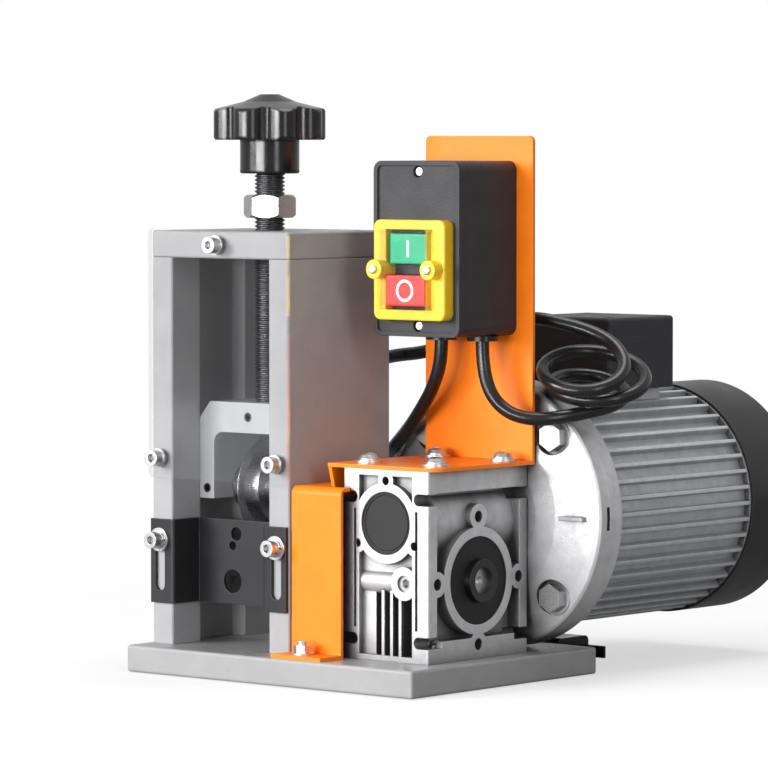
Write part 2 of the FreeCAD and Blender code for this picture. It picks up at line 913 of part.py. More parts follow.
def gearbox_housing():
    solid = rounded_box(gear_x, gear_x1, gear_y0, gear_y1, base_t, gear_z1, gear_round, (0, 0, 1))
    frame_y = (gear_y0 + side_frame, gear_y1 - side_frame)
    frame_z = (base_t + side_frame_z, gear_z1 - side_frame_z)
    for x in (gear_x, gear_x1 - side_recess):
        recess = box(x, x + side_recess, frame_y[0], frame_y[1], frame_z[0], frame_z[1])
        solid = solid.cut(recess)
    relief_x = (gear_x + front_post, gear_x1 - front_post)
    relief_z = (base_t + front_band, gear_z1 - front_band)
    solid = solid.cut(box(*relief_x, gear_y0, gear_y0 + front_relief, *relief_z))
    pocket = box(
        gear_x + front_pocket_x0,
        gear_x1 - front_pocket_x1,
        gear_y0,
        gear_y0 + front_pocket_d,
        base_t + front_band,
        worm_z - front_pocket_top,
    )
    solid = solid.cut(pocket)
    fins = []
    for k in range(fin_count):
        x = gear_mid + fin_side + (k - (fin_count - 1) / 2) * fin_pitch
        fins.append(box(x, x + fin_t, gear_y0 + 1, gear_y0 + front_pocket_d + 1, base_t + 1, base_t + fin_h))
    fins.append(cyl_y(gear_mid + plug_side, gear_y0, gear_y0 + front_pocket_d + 1, shaft_z, plug_boss_r))
    for k in range(3):
        a = math.radians(90 + 120 * k)
        x = gear_mid + worm_lug_pcd / 2 * math.cos(a)
        z = worm_z + worm_lug_pcd / 2 * math.sin(a)
        fins.append(cyl_y(x, gear_y0, gear_y0 + front_pocket_d, z, worm_lug_r))
    fins.append(cyl_y(gear_mid, gear_y0, gear_y0 + front_pocket_d, worm_z, worm_ring_r))
    fins.append(cyl_y(gear_mid, gear_y0 + front_relief, frame_y[1] + 1, worm_z, worm_boss_r))
    fins.append(cyl_x(gear_x, gear_x1, shaft_y, shaft_z, output_boss_r))
    for k in range(4):
        a = math.radians(90 * k)
        y = shaft_y + output_pcd / 2 * math.cos(a)
        z = shaft_z + output_pcd / 2 * math.sin(a)
        fins.append(cyl_x(gear_x, gear_x1, y, z, output_lug_r))
    solid = solid.multiFuse(fins)
    solid = solid.cut(worm_bore())
    solid = solid.cut(output_bore())
    for cutter in housing_holes():
        solid = solid.cut(cutter)
    return solid.removeSplitter()


def worm_bore():
    """The stepped bore along Y for the worm, its bearings and the front cap."""
    cap_y = gear_y0 + worm_cap_set + worm_cap_t
    front = cyl_y(gear_mid, gear_y0, cap_y + worm_bearing_w, worm_z, worm_bearing_r + snug)
    room = cyl_y(gear_mid, cap_y, gear_y1, worm_z, worm_room)
    back = cyl_y(gear_mid, gear_y1 - worm_bearing_w, gear_y1, worm_z, worm_bearing_r + snug)
    return front.fuse(room).fuse(back)


def output_bore():
    """The stepped bore along X for the sleeve, its bearings, seals and the worm wheel."""
    seat = seal_t + output_bearing_w
    right = cyl_x(gear_x1 - seat, gear_x1, shaft_y, shaft_z, seal_r + snug)
    room = cyl_x(gear_x, gear_x1 - seat, shaft_y, shaft_z, cover_bore_r)
    return room.fuse(right)


def housing_holes():
    cutters = []
    for x, y in foot_bolts:
        cutters.append(cyl_z(x, y, base_t, base_t + side_frame_z, m6_shank + snug))
        cutters.append(cyl_z(x, y, gear_z1 - m6_grip, gear_z1, m6_shank + snug))
    for k in range(4):
        a = math.radians(90 * k)
        y = shaft_y + output_pcd / 2 * math.cos(a)
        z = shaft_z + output_pcd / 2 * math.sin(a)
        cutters.append(cyl_x(gear_x1 - output_hole_l, gear_x1, y, z, output_hole_r))
        cutters.append(cyl_x(gear_x, gear_x + output_hole_l, y, z, m5_shank + snug))
    for k in range(3):
        a = math.radians(90 + 120 * k)
        x = gear_mid + worm_lug_pcd / 2 * math.cos(a)
        z = worm_z + worm_lug_pcd / 2 * math.sin(a)
        cutters.append(cyl_y(x, gear_y0, gear_y0 + lug_hole_l, z, lug_hole_r))
    cutters.append(cyl_y(gear_mid + plug_side, gear_y0, gear_y0 + plug_l, shaft_z, plug_r + snug))
    for z in (gear_z1 - corner_slot_top, base_t + corner_slot_low):
        for x0 in (gear_x, gear_x1 - corner_slot_l):
            for y0 in (gear_y0, gear_y1 - corner_slot_deep):
                cutters.append(corner_slot(x0, y0, z))
    for x in (gear_x + side_frame, gear_x1 - side_frame - column_groove):
        low = base_t + corner_slot_low + corner_slot_w
        high = gear_z1 - corner_slot_top - corner_slot_w
        cutters.append(box(x, x + column_groove, gear_y0, gear_y0 + column_groove, low, high))
    return cutters


def corner_slot(x0, y0, z):
    """A slot in from the side of a corner, with a round inner end."""
    r = corner_slot_w / 2
    outward = -1 if x0 == gear_x else 1
    centre = x0 + corner_slot_l / 2 - outward * (corner_slot_l / 2 - r)
    edge = gear_x - 1 if outward < 0 else gear_x1 + 1
    body = box(min(centre, edge), max(centre, edge), y0, y0 + corner_slot_deep, z - r, z + r)
    return body.fuse(cyl_y(centre, y0, y0 + corner_slot_deep, z, r))


def gearbox_cover():
    """The left cover: it closes the wheel room and carries one bearing and seal."""
    seat = seal_t + output_bearing_w
    body = cyl_x(gear_x, gear_x + seat, shaft_y, shaft_z, cover_bore_r - snug)
    body = body.fuse(cyl_x(gear_x - cover_flange_t, gear_x, shaft_y, shaft_z, cover_flange_r))
    body = body.cut(cyl_x(gear_x - cover_flange_t, gear_x + seat, shaft_y, shaft_z, seal_r + snug))
    for y, z in cover_screw_places():
        body = body.cut(cyl_x(gear_x - cover_flange_t, gear_x, y, z, m5_shank + screw_gap))
    return body.removeSplitter()


def cover_screw_places():
    places = []
    for k in range(4):
        a = math.radians(90 * k)
        places.append((shaft_y + cover_pcd / 2 * math.cos(a), shaft_z + cover_pcd / 2 * math.sin(a)))
    return places


def gearbox_screws():
    """Four M6 foot screws up through the base and four M5 screws in the left cover."""
    screws = []
    for x, y in foot_bolts:
        grip = base_t - base_counterbore + side_frame_z - 2
        screws.append(cap_screw((x, y, base_counterbore), (0, 0, -1), m6_shank, m6_head, m6_head_h, grip))
    for y, z in cover_screw_places():
        seat = (gear_x - cover_flange_t, y, z)
        grip = cover_flange_t + output_hole_l - 1
        screws.append(cap_screw(seat, (-1, 0, 0), m5_shank, m5_head, m5_head_h, grip))
    return screws


def gearbox_bearings():
    """Two bearings on the output sleeve and two on the worm."""
    solids = []
    inner = sleeve_r + running
    for x in output_bearing_x:
        solids.append(ball_bearing((x, shaft_y, shaft_z), (1, 0, 0), seal_r, inner, output_bearing_w))
    front = gear_y0 + worm_cap_set + worm_cap_t
    inner = worm_end_r + running
    for y in (front, gear_y1 - worm_bearing_w):
        solids.append(ball_bearing((gear_mid, y, worm_z), (0, 1, 0), worm_bearing_r, inner, worm_bearing_w))
    return solids


def oil_seals():
    inner = sleeve_r + running
    places = (gear_x - cover_flange_t, gear_x1 - seal_t)
    widths = (cover_flange_t + seal_t, seal_t)
    return [
        ring((x, shaft_y, shaft_z), (1, 0, 0), seal_r, inner, w - 0.8 if x > gear_mid else w)
        for x, w in zip(places, widths)
    ]


def worm_cap():
    y0 = gear_y0 + worm_cap_set
    cap = cyl_y(gear_mid, y0, y0 + worm_cap_t, worm_z, worm_cap_r)
    return cap.cut(ring((gear_mid, y0, worm_z), (0, 1, 0), worm_cap_r - 1.6, worm_cap_r - 2.2, 0.4))


def oil_plug():
    x = gear_mid + plug_side
    plug = cyl_y(x, gear_y0 + 1.5, gear_y0 + plug_l, shaft_z, plug_r)
    return plug.cut(hexagon((x, gear_y0 + 1.5, shaft_z), (0, 1, 0), plug_r, 4))


def output_sleeve():
    return ring((sleeve_x0, shaft_y, shaft_z), (1, 0, 0), sleeve_r, sleeve_bore_r, sleeve_len)


def worm_wheel():
    x0 = gear_mid - wheel_w / 2
    x1 = gear_mid + wheel_w / 2
    wheel = toothed_disc(shaft_y, shaft_z, x0, x1, wheel_r, wheel_teeth, wheel_tooth)
    return wheel.cut(cyl_x(x0, x1, shaft_y, shaft_z, sleeve_r + snug))


def worm_shaft():
    """The worm with its two ends; the back end is hollow for the motor's shaft."""
    y0 = gear_y0 + worm_cap_set + worm_cap_t
    y1 = gear_y1
    worm0 = shaft_y - worm_len / 2
    worm1 = shaft_y + worm_len / 2
    profile = [(0, y0 + airgap), (worm_end_r, y0 + airgap), (worm_end_r, worm0)]
    profile.append((worm_root_r, worm0))
    ridges = int(worm_len / worm_pitch)
    spare = (worm_len - ridges * worm_pitch) / 2
    for k in range(ridges):
        y = worm0 + spare + k * worm_pitch
        profile.append((worm_root_r, y + worm_pitch * 0.2))
        profile.append((worm_r, y + worm_pitch * 0.4))
        profile.append((worm_r, y + worm_pitch * 0.6))
        profile.append((worm_root_r, y + worm_pitch * 0.8))
    profile.append((worm_root_r, worm1))
    profile.append((worm_end_r, worm1))
    profile.append((worm_end_r, y1))
    profile.append((0, y1))
    solid = lathe_y(gear_mid, worm_z, profile)
    return solid.cut(cyl_y(gear_mid, y1 - worm_hollow, y1, worm_z, motor_shaft_r + snug))


# Motor

def input_flange():
    """A cast dished flange between the gearbox and the motor, with four bolt bosses."""
    y0 = gear_y1
    y1 = motor_y0
    rim = y1 - flange_rim
    profile = [
        (worm_bearing_r - 1, y0),
        (flange_neck_r, y0),
        (45, y0 + 1.2),
        (56, y0 + 3.4),
        (64, y0 + 6.0),
        (flange_r - 1.2, rim),
        (flange_r, rim + 1),
        (flange_r, y1),
        (flange_bore_r, y1),
        (flange_bore_r, y1 - 4),
        (flange_neck_r, y0 + 5.5),
        (worm_bearing_r - 1, y0 + 4),
    ]
    solid = lathe_y(gear_mid, worm_z, profile)
    bosses = [cyl_y(x, y1 - flange_boss_h, y1 - 1, z, flange_boss_r) for x, z in flange_bolt_places()]
    reach = flange_r - 8
    bosses.append(box(gear_mid - reach, gear_mid + reach, y0 + 1.5, y0 + 6, worm_z - 1, worm_z + 1))
    solid = solid.multiFuse(bosses)
    solid = solid.cut(cyl_y(gear_mid, y0, y1, worm_z, worm_bearing_r - 1))
    for x, z in flange_bolt_places():
        solid = solid.cut(cyl_y(x, y0, y1, z, m8_shank + screw_gap))
        solid = solid.cut(cyl_y(x, y0, y1 - flange_boss_h, z, flange_boss_r + flange_spot))
    notch = box(gear_mid + flange_r - 3, gear_mid + flange_r + 1, y1 - 2.5, y1, worm_z - 6, worm_z + 6)
    return solid.cut(notch).removeSplitter()


def flange_bolt_places():
    places = []
    for k in range(4):
        a = math.radians(45 + 90 * k)
        places.append((gear_mid + flange_pcd / 2 * math.cos(a), worm_z + flange_pcd / 2 * math.sin(a)))
    return places


def flange_bolts():
    """Four M8 hexagon bolts with their nuts behind the motor's flange."""
    solids = []
    seat = motor_y0 - flange_boss_h
    back = motor_y0 + motor_flange_t
    for x, z in flange_bolt_places():
        bolt = hexagon((x, seat - m8_head_h, z), (0, 1, 0), m8_flats, m8_head_h)
        bolt = bolt.fuse(cyl_y(x, seat, back + m8_nut_h + 1, z, m8_shank))
        solids.append(bolt)
        nut = hexagon((x, back, z), (0, 1, 0), m8_flats, m8_nut_h)
        solids.append(nut.cut(cyl_y(x, back, back + m8_nut_h, z, m8_shank + snug)))
    return solids


def motor_front_shield():
    y0 = motor_y0
    seat = front_bearing_y
    profile = [
        (motor_shaft_r + 1.5, y0 - spigot_l),
        (flange_bore_r - snug, y0 - spigot_l),
        (flange_bore_r - snug, y0),
        (flange_r, y0),
        (flange_r, y0 + motor_flange_t),
        (motor_r, y0 + motor_flange_t),
        (motor_r, body_y0),
        (motor_bore_r - 2, body_y0),
        (motor_bore_r - 4, y0 + motor_flange_t),
        (motor_bearing_r + 5, y0 + motor_flange_t),
        (motor_bearing_r + 5, seat + motor_bearing_w),
        (motor_bearing_r + snug, seat + motor_bearing_w),
        (motor_bearing_r + snug, seat),
        (motor_shaft_r + 1.5, seat),
    ]
    solid = lathe_y(gear_mid, worm_z, profile)
    for x, z in flange_bolt_places():
        solid = solid.cut(cyl_y(x, y0, y0 + motor_flange_t, z, m8_shank + screw_gap))
        nut_room = m8_flats / math.sqrt(3) + airgap
        solid = solid.cut(cyl_y(x, y0 + motor_flange_t, body_y0, z, nut_room))
    return solid


def motor_body():
    """The finned housing with a flat pad on top for the terminal box."""
    points = []
    for k in range(motor_fins * 2):
        reach = motor_fin_r if k % 2 == 0 else motor_r
        half = 0.22 if k % 2 == 0 else 0.66
        for side in (-half, half):
            a = 2 * math.pi * (k + side) / (motor_fins * 2)
            points.append((gear_mid + reach * math.cos(a), body_y0, worm_z + reach * math.sin(a)))
    length = body_y1 - body_y0
    body = prism(points, (0, length, 0))
    pad_w = terminal_w - 12
    pad_d = terminal_d - 12
    y0 = terminal_y0 + 6
    pad_x = (gear_mid - pad_w / 2, gear_mid + pad_w / 2)
    pad = box(*pad_x, y0, y0 + pad_d, worm_z + motor_bore_r - 4, terminal_z0)
    body = body.fuse(pad)
    return body.cut(cyl_y(gear_mid, body_y0, body_y1, worm_z, motor_bore_r)).removeSplitter()


def motor_stator():
    """The laminated core and its two winding heads."""
    y0 = stator_y0
    y1 = stator_y0 + stator_len
    core = ring((gear_mid, y0, worm_z), (0, 1, 0), motor_bore_r - snug, stator_bore_r, stator_len)
    front = ring((gear_mid, y0 - winding_len, worm_z), (0, 1, 0), winding_r, stator_bore_r + 2, winding_len)
    back = ring((gear_mid, y1, worm_z), (0, 1, 0), winding_r, stator_bore_r + 2, winding_len)
    return [core, front, back]


def motor_rotor():
    core = cyl_y(gear_mid, stator_y0, stator_y0 + stator_len, worm_z, stator_bore_r - airgap)
    tip = gear_y1 - worm_hollow + 1
    thin = cyl_y(gear_mid, tip, front_bearing_y, worm_z, motor_shaft_r)
    end = body_y1 + fan_room - 12
    thick = cyl_y(gear_mid, front_bearing_y, end, worm_z, motor_bearing_bore)
    return core.multiFuse([thin, thick]).removeSplitter()


def motor_bearings():
    inner = motor_bearing_bore + running
    return [
        ball_bearing((gear_mid, y, worm_z), (0, 1, 0), motor_bearing_r, inner, motor_bearing_w)
        for y in (front_bearing_y, rear_bearing_y)
    ]


def motor_rear_shield():
    y0 = body_y1
    y1 = body_y1 + rear_shield_len
    outer = fan_cover_r - fan_cover_t - snug
    profile = [
        (motor_bearing_r + snug, y0),
        (outer, y0),
        (outer, y1),
        (motor_bearing_bore + 1.5, y1),
        (motor_bearing_bore + 1.5, y0 + motor_bearing_w),
        (motor_bearing_r + snug, y0 + motor_bearing_w),
    ]
    return lathe_y(gear_mid, worm_z, profile)


def cooling_fan():
    y0 = body_y1 + rear_shield_len + 5
    hub = cyl_y(gear_mid, y0, y0 + fan_w, worm_z, fan_hub_r)
    parts = [cyl_y(gear_mid, y0, y0 + fan_disc_t, worm_z, fan_r)]
    for k in range(fan_blades):
        vane = box(fan_hub_r - 2, fan_r, y0 + 1, y0 + fan_w, -1, 1)
        vane.translate(V(gear_mid, 0, worm_z))
        vane.rotate(V(gear_mid, 0, worm_z), V(0, 1, 0), 360 / fan_blades * k)
        parts.append(vane)
    fan = hub.multiFuse(parts).removeSplitter()
    return fan.cut(cyl_y(gear_mid, y0, y0 + fan_w, worm_z, motor_bearing_bore + snug))


def fan_cover():
    y0 = body_y1 + rear_shield_len - fan_cover_lap
    y1 = motor_y1
    outer = fan_cover_r
    inner = fan_cover_r - fan_cover_t
    profile = [
        (inner, y0),
        (outer, y0),
        (outer, y1 - 4),
        (outer - 3, y1),
        (0, y1),
        (0, y1 - fan_cover_t),
        (inner - 3, y1 - fan_cover_t),
        (inner, y1 - 4),
    ]
    cover = lathe_y(gear_mid, worm_z, profile)
    rows = int(vent_reach / vent_pitch)
    for k in range(-rows, rows + 1):
        z = worm_z + k * vent_pitch
        half = math.sqrt(vent_reach ** 2 - (k * vent_pitch) ** 2)
        if half > vent_pitch:
            cover = cover.cut(
                box(gear_mid - half, gear_mid + half, y1 - 3, y1 + 1, z - vent_w / 2, z + vent_w / 2)
            )
    return cover


def terminal_box():
    x0 = gear_mid - terminal_w / 2
    x1 = gear_mid + terminal_w / 2
    y0 = terminal_y0
    y1 = y0 + terminal_d
    z1 = terminal_z0 + terminal_h
    body = rounded_box(x0, x1, y0, y1, terminal_z0, z1, terminal_round, (0, 0, 1))
    t = terminal_wall
    body = body.cut(box(x0 + t, x1 - t, y0 + t, y1 - t, terminal_z0 + t, z1))
    for x, y in terminal_screw_places():
        body = body.fuse(cyl_z(x, y, terminal_z0, z1, 4))
        body = body.cut(cyl_z(x, y, z1 - 10, z1, lid_screw_r + snug))
    gland_y, gland_z = lead_gland()
    return body.cut(cyl_x(x0, x0 + t, gland_y, gland_z, gland_r + snug)).removeSplitter()


def lead_gland():
    return terminal_y0 + terminal_d / 2, terminal_z0 + terminal_h / 2


def terminal_screw_places():
    inset = 6.0
    return [
        (
            gear_mid + sx * (terminal_w / 2 - inset),
            terminal_y0 + terminal_d / 2 + sy * (terminal_d / 2 - inset),
        )
        for sx in (-1, 1)
        for sy in (-1, 1)
    ]


def terminal_box_lid():
    x0 = gear_mid - terminal_w / 2
    x1 = gear_mid + terminal_w / 2
    y0 = terminal_y0
    y1 = y0 + terminal_d
    z0 = terminal_z0 + terminal_h
    z1 = z0 + terminal_lid_h
    lid = rounded_box(x0, x1, y0, y1, z0, z1, terminal_round, (0, 0, 1))
    lid = lid.makeFillet(2, [e for e in lid.Edges if e.BoundBox.ZMin > z1 - 0.01])
    t = terminal_wall
    lid = lid.cut(box(x0 + t, x1 - t, y0 + t, y1 - t, z0, z1 - t))
    for x, y in terminal_screw_places():
        lid = lid.fuse(cyl_z(x, y, z0, z1 - 1, 4))
        lid = lid.cut(cyl_z(x, y, z0, z1, lid_screw_r + screw_gap))
        lid = lid.cut(cyl_z(x, y, z1 - 3.5, z1, lid_screw_well))
    return lid.removeSplitter()


# Orange sheet parts

def control_bracket():
    """One bent sheet: a plate on the gearbox, a tall back panel and a short left flange."""
    z0 = gear_z1
    plate = box(bracket_x0, bracket_x1, gear_y0, gear_y1, z0, bracket_z1)
    corner = [e for e in edges_along(plate, V(0, 0, 1)) if e.Vertexes[0].Point.x > gear_mid]
    corner = [e for e in corner if e.Vertexes[0].Point.y < shaft_y]
    plate = plate.makeFillet(bracket_corner, corner)
    panel = box(bracket_x0, bracket_x1, panel_y0, gear_y1, z0, z0 + panel_h)
    tops = [e for e in edges_along(panel, V(0, 1, 0)) if e.Vertexes[0].Point.z > z0 + panel_h / 2]
    panel = panel.makeFillet(panel_corner, tops)
    low = z0 - bracket_drop
    slant = 4.6
    flange = prism(
        [
            (bracket_x0, gear_y0, bracket_z1),
            (bracket_x0, gear_y1, bracket_z1),
            (bracket_x0, gear_y1, low),
            (bracket_x0, gear_y0 + slant, low),
        ],
        (sheet_t, 0, 0),
    )
    sheet = plate.multiFuse([panel, flange])
    for x, y in foot_bolts:
        sheet = sheet.cut(cyl_z(x, y, z0, bracket_z1, m6_shank + screw_gap))
    for z in panel_screw_heights():
        sheet = sheet.cut(cyl_y(switch_mid, panel_y0, gear_y1, z, panel_screw_r + screw_gap))
    return sheet.removeSplitter()


def bracket_bolts():
    """Four M6 round head screws with a wide washer each."""
    solids = []
    z = bracket_z1
    for x, y in foot_bolts:
        solids.append(ring((x, y, z), (0, 0, 1), bracket_washer_r, m6_shank + snug, bracket_washer_t))
        seat = z + bracket_washer_t
        top = seat + bracket_head_h
        profile = [
            (0, z - m6_grip),
            (m6_shank, z - m6_grip),
            (m6_shank, seat),
            (bracket_head_r, seat),
            (bracket_head_r, seat + 0.8),
            (bracket_head_r * 0.8, top - 0.9),
            (bracket_head_r * 0.4, top),
            (0, top),
        ]
        screw = lathe_z(x, y, profile)
        solids.append(screw.cut(hexagon((x, y, top - 2.2), (0, 0, 1), 4, 3)))
    return solids


def shaft_guard():
    """A bent sheet with a foot on the base, a front wall and a roof over the drive shaft."""
    z0 = base_t
    z1 = base_t + guard_h
    wall = box(guard_x0, guard_x1, guard_y0, guard_y1, z0, z1)
    foot = box(guard_x0, guard_x1, guard_y0 - guard_foot, guard_y1, z0, z0 + sheet_t)
    front = box(guard_x0, guard_x1, guard_y0, gear_y0 - guard_roof_gap, z1 - sheet_t, z1)
    roof = box(guard_x0, bracket_x0 - guard_roof_gap, guard_y0, panel_y0 - guard_bend, z1 - sheet_t, z1)
    sheet = wall.multiFuse([foot, front, roof]).removeSplitter()
    bend = []
    for edge in edges_along(sheet, V(1, 0, 0)):
        at = edge.Vertexes[0].Point
        if abs(at.y - guard_y0) < 0.01 and abs(at.z - z1) < 0.01:
            bend.append(edge)
    sheet = sheet.makeFillet(guard_bend, bend)
    x, y = guard_bolt
    return sheet.cut(cyl_z(x, y, z0, z0 + sheet_t, m5_shank + screw_gap))


def guard_bolt_set():
    """A stud with its nut and washer on the guard's foot."""
    x, y = guard_bolt
    z = base_t + sheet_t
    stud = cyl_z(x, y, base_t - m5_grip + 1, z + guard_stud, m5_shank)
    washer = ring((x, y, z), (0, 0, 1), guard_washer_r, m5_shank + snug, m5_washer_t)
    nut = hexagon((x, y, z + m5_washer_t), (0, 0, 1), guard_nut_flats, guard_nut_h)
    nut = nut.cut(cyl_z(x, y, z, z + guard_stud, m5_shank + snug))
    return [stud, washer, nut]


# Switch box, frame and buttons

def panel_screw_heights():
    middle = (switch_z0 + switch_z1) / 2
    return (middle - panel_screw_pitch / 2, middle + panel_screw_pitch / 2)


def lid_screw_heights():
    return (switch_z0 + lid_screw_inset, switch_z1 - lid_screw_inset)


def switch_box():
    y0 = switch_seam
    y1 = panel_y0
    body = rounded_box(switch_x0, switch_x1, y0, y1, switch_z0, switch_z1, switch_round, (0, 1, 0))
    t = switch_wall
    room = rounded_box(
        switch_x0 + t, switch_x1 - t, y0, y1 - t, switch_z0 + t, switch_z1 - t, switch_round - t, (0, 1, 0)
    )
    body = body.cut(room)
    for z in lid_screw_heights():
        post = cyl_y(switch_mid, y0, y0 + lid_boss_l, z, lid_boss_r)
        inside = box(switch_x0, switch_x1, y0, y1, switch_z0 + 1, switch_z1 - 1)
        body = body.fuse(post.common(inside))
        body = body.cut(cyl_y(switch_mid, y0, y0 + lid_screw_depth, z, lid_screw_r + snug))
    for z in panel_screw_heights():
        body = body.cut(cyl_y(switch_mid, y1 - t, y1, z, panel_screw_r + screw_gap))
    for x in (lead_x, power_x):
        body = body.cut(cyl_z(x, switch_cords_y, switch_z0, switch_z0 + t, gland_r + snug))
    return body.removeSplitter()


def switch_box_lid():
    y0 = switch_y0
    y1 = switch_seam
    lid = rounded_box(switch_x0, switch_x1, y0, y1, switch_z0, switch_z1, switch_round, (0, 1, 0))
    r = switch_rim
    dish = rounded_box(
        switch_x0 + r, switch_x1 - r, y0, face_y, switch_z0 + r, switch_z1 - r, switch_round - r, (0, 1, 0)
    )
    t = switch_wall
    room = box(switch_x0 + t, switch_x1 - t, face_y + t, y1, switch_z0 + t, switch_z1 - t)
    lid = lid.cut(dish).cut(room)
    for z in lid_screw_heights():
        post = cyl_y(switch_mid, face_y + 1, y1, z, lid_boss_r)
        inside = box(switch_x0, switch_x1, y0, y1, switch_z0 + 1, switch_z1 - 1)
        lid = lid.fuse(post.common(inside))
        lid = lid.cut(cyl_y(switch_mid, y0, y1, z, lid_screw_r + screw_gap))
        lid = lid.cut(cyl_y(switch_mid, y0, face_y + 3, z, lid_screw_well - 0.4))
    half = window_w / 2
    lid = lid.cut(box(switch_mid - half, switch_mid + half, y0, y1, window_z0, window_z0 + window_h))
    return lid.removeSplitter()


def pan_screw(seat, axis, shank, head, head_h, grip):
    """A small screw with a low round head."""
    way = V(*axis)
    start = V(*seat)
    solid = Part.makeCylinder(head, head_h, start, way)
    solid = solid.makeFillet(head_h * 0.5, [solid.Edges[0]])
    return solid.fuse(Part.makeCylinder(shank, grip, start - way * grip, way)).removeSplitter()


def enclosure_screws():
    """The lid's two screws, the two that hold the box to its panel, and the terminal lid's four."""
    solids = []
    for z in lid_screw_heights():
        seat = (switch_mid, face_y + 3, z)
        solids.append(pan_screw(seat, (0, -1, 0), lid_screw_r, lid_screw_head, 2, 14))
    for z in panel_screw_heights():
        seat = (switch_mid, panel_y0 - switch_wall, z)
        grip = switch_wall + sheet_t + 3
        solids.append(pan_screw(seat, (0, -1, 0), panel_screw_r, panel_screw_head, panel_screw_head_h, grip))
    for x, y in terminal_screw_places():
        seat = (x, y, terminal_z0 + terminal_h + terminal_lid_h - 3.5)
        solids.append(pan_screw(seat, (0, 0, 1), lid_screw_r, lid_screw_head, 2, 15))
    return solids


def switch_frame():
    """The yellow frame with a window for both buttons and two screw posts."""
    x0 = switch_mid - frame_w / 2
    x1 = switch_mid + frame_w / 2
    solid = rounded_box(x0, x1, frame_y0, face_y, frame_z0, frame_z0 + frame_h, frame_round, (0, 1, 0))
    solid = solid.makeFillet(1.2, [e for e in solid.Edges if e.BoundBox.YMax < frame_y0 + 0.01])
    half = window_w / 2
    opening = box(switch_mid - half, switch_mid + half, frame_y0, face_y, window_z0, window_z0 + window_h)
    solid = solid.cut(opening)
    for side in (-1, 1):
        x = switch_mid + side * post_side
        solid = solid.fuse(cyl_y(x, frame_y0 - post_l, face_y, post_z, post_r))
        solid = solid.cut(cyl_y(x, frame_y0 - post_l, frame_y0, post_z, lid_screw_r + snug))
    return solid.removeSplitter()


def frame_screws():
    screws = []
    for side in (-1, 1):
        seat = (switch_mid + side * post_side, frame_y0 - post_l, post_z)
        screws.append(pan_screw(seat, (0, -1, 0), lid_screw_r, 2.4, 1.6, post_l - 1))
    return screws


def switch_module():
    """The contact block behind the frame, with a pocket for each button."""
    y0 = face_y + switch_wall + 0.2
    body = box(
        switch_mid - module_w / 2,
        switch_mid + module_w / 2,
        y0,
        y0 + module_d,
        window_mid - module_h / 2,
        window_mid + module_h / 2,
    )
    half = window_w / 2 - sliding
    nose = box(
        switch_mid - half,
        switch_mid + half,
        face_y - module_nose + 2,
        y0,
        window_z0 + sliding,
        window_z0 + window_h - sliding,
    )
    posts = [
        cyl_y(switch_mid + side * post_side, nose.BoundBox.YMin, y0, post_z, post_r + sliding)
        for side in (-1, 1)
    ]
    for post in posts:
        nose = nose.cut(post)
    body = body.fuse(nose)
    for w, h, z, proud in buttons():
        back = button_back(proud) + button_travel + 0.5
        body = body.cut(
            box(
                switch_mid - w / 2 - button_fit,
                switch_mid + w / 2 + button_fit,
                nose.BoundBox.YMin,
                back,
                z - h / 2 - button_fit,
                z + h / 2 + button_fit,
            )
        )
    return body.removeSplitter()


def buttons():
    """Width, height, middle height and how far each button stands before the frame."""
    return ((green_w, green_h, green_z, green_proud), (red_w, red_h, red_z, red_proud))


def button_back(proud):
    return frame_y0 - proud + button_l


def button(w, h, z, proud):
    y0 = frame_y0 - proud
    solid = box(switch_mid - w / 2, switch_mid + w / 2, y0, button_back(proud), z - h / 2, z + h / 2)
    front = [e for e in solid.Edges if e.BoundBox.YMax < y0 + 0.01]
    return solid.makeFillet(0.8, front)


def button_cover():
    """A clear flexible cover over both buttons, notched round the screw posts."""
    half = window_w / 2 + boot_skin
    y0 = frame_y0 - boot_up
    z0 = window_z0 - boot_skin
    z1 = window_z0 + window_h + boot_skin
    s = boot_skin
    shell = rounded_box(switch_mid - half, switch_mid + half, y0, frame_y0, z0, z1, 2, (0, 1, 0))
    room = rounded_box(
        switch_mid - half + s, switch_mid + half - s, y0 + s, frame_y0, z0 + s, z1 - s, 1.2, (0, 1, 0)
    )
    shell = shell.cut(room)
    for side in (-1, 1):
        shell = shell.cut(cyl_y(switch_mid + side * post_side, y0, frame_y0, post_z, post_r + 0.3))
    return shell


# Glands and cords

def cable_glands():
    """Two grommets in the switch box's floor and one in the terminal box's left wall."""
    solids = []
    for x in (lead_x, power_x):
        y = switch_cords_y
        z = switch_z0
        body = cyl_z(x, y, z - gland_flange_t, z, gland_flange_r)
        body = body.fuse(cyl_z(x, y, z, z + gland_l, gland_r))
        solids.append(body.removeSplitter())
    y, z = lead_gland()
    x = gear_mid - terminal_w / 2
    body = cyl_x(x - gland_flange_t * 3, x, y, z, gland_flange_r)
    body = body.fuse(cyl_x(x, x + gland_l, y, z, gland_r))
    solids.append(body.removeSplitter())
    return solids


def unit(vector):
    return V(vector).normalize()


def line(start, end):
    return Part.LineSegment(start, end).toShape()


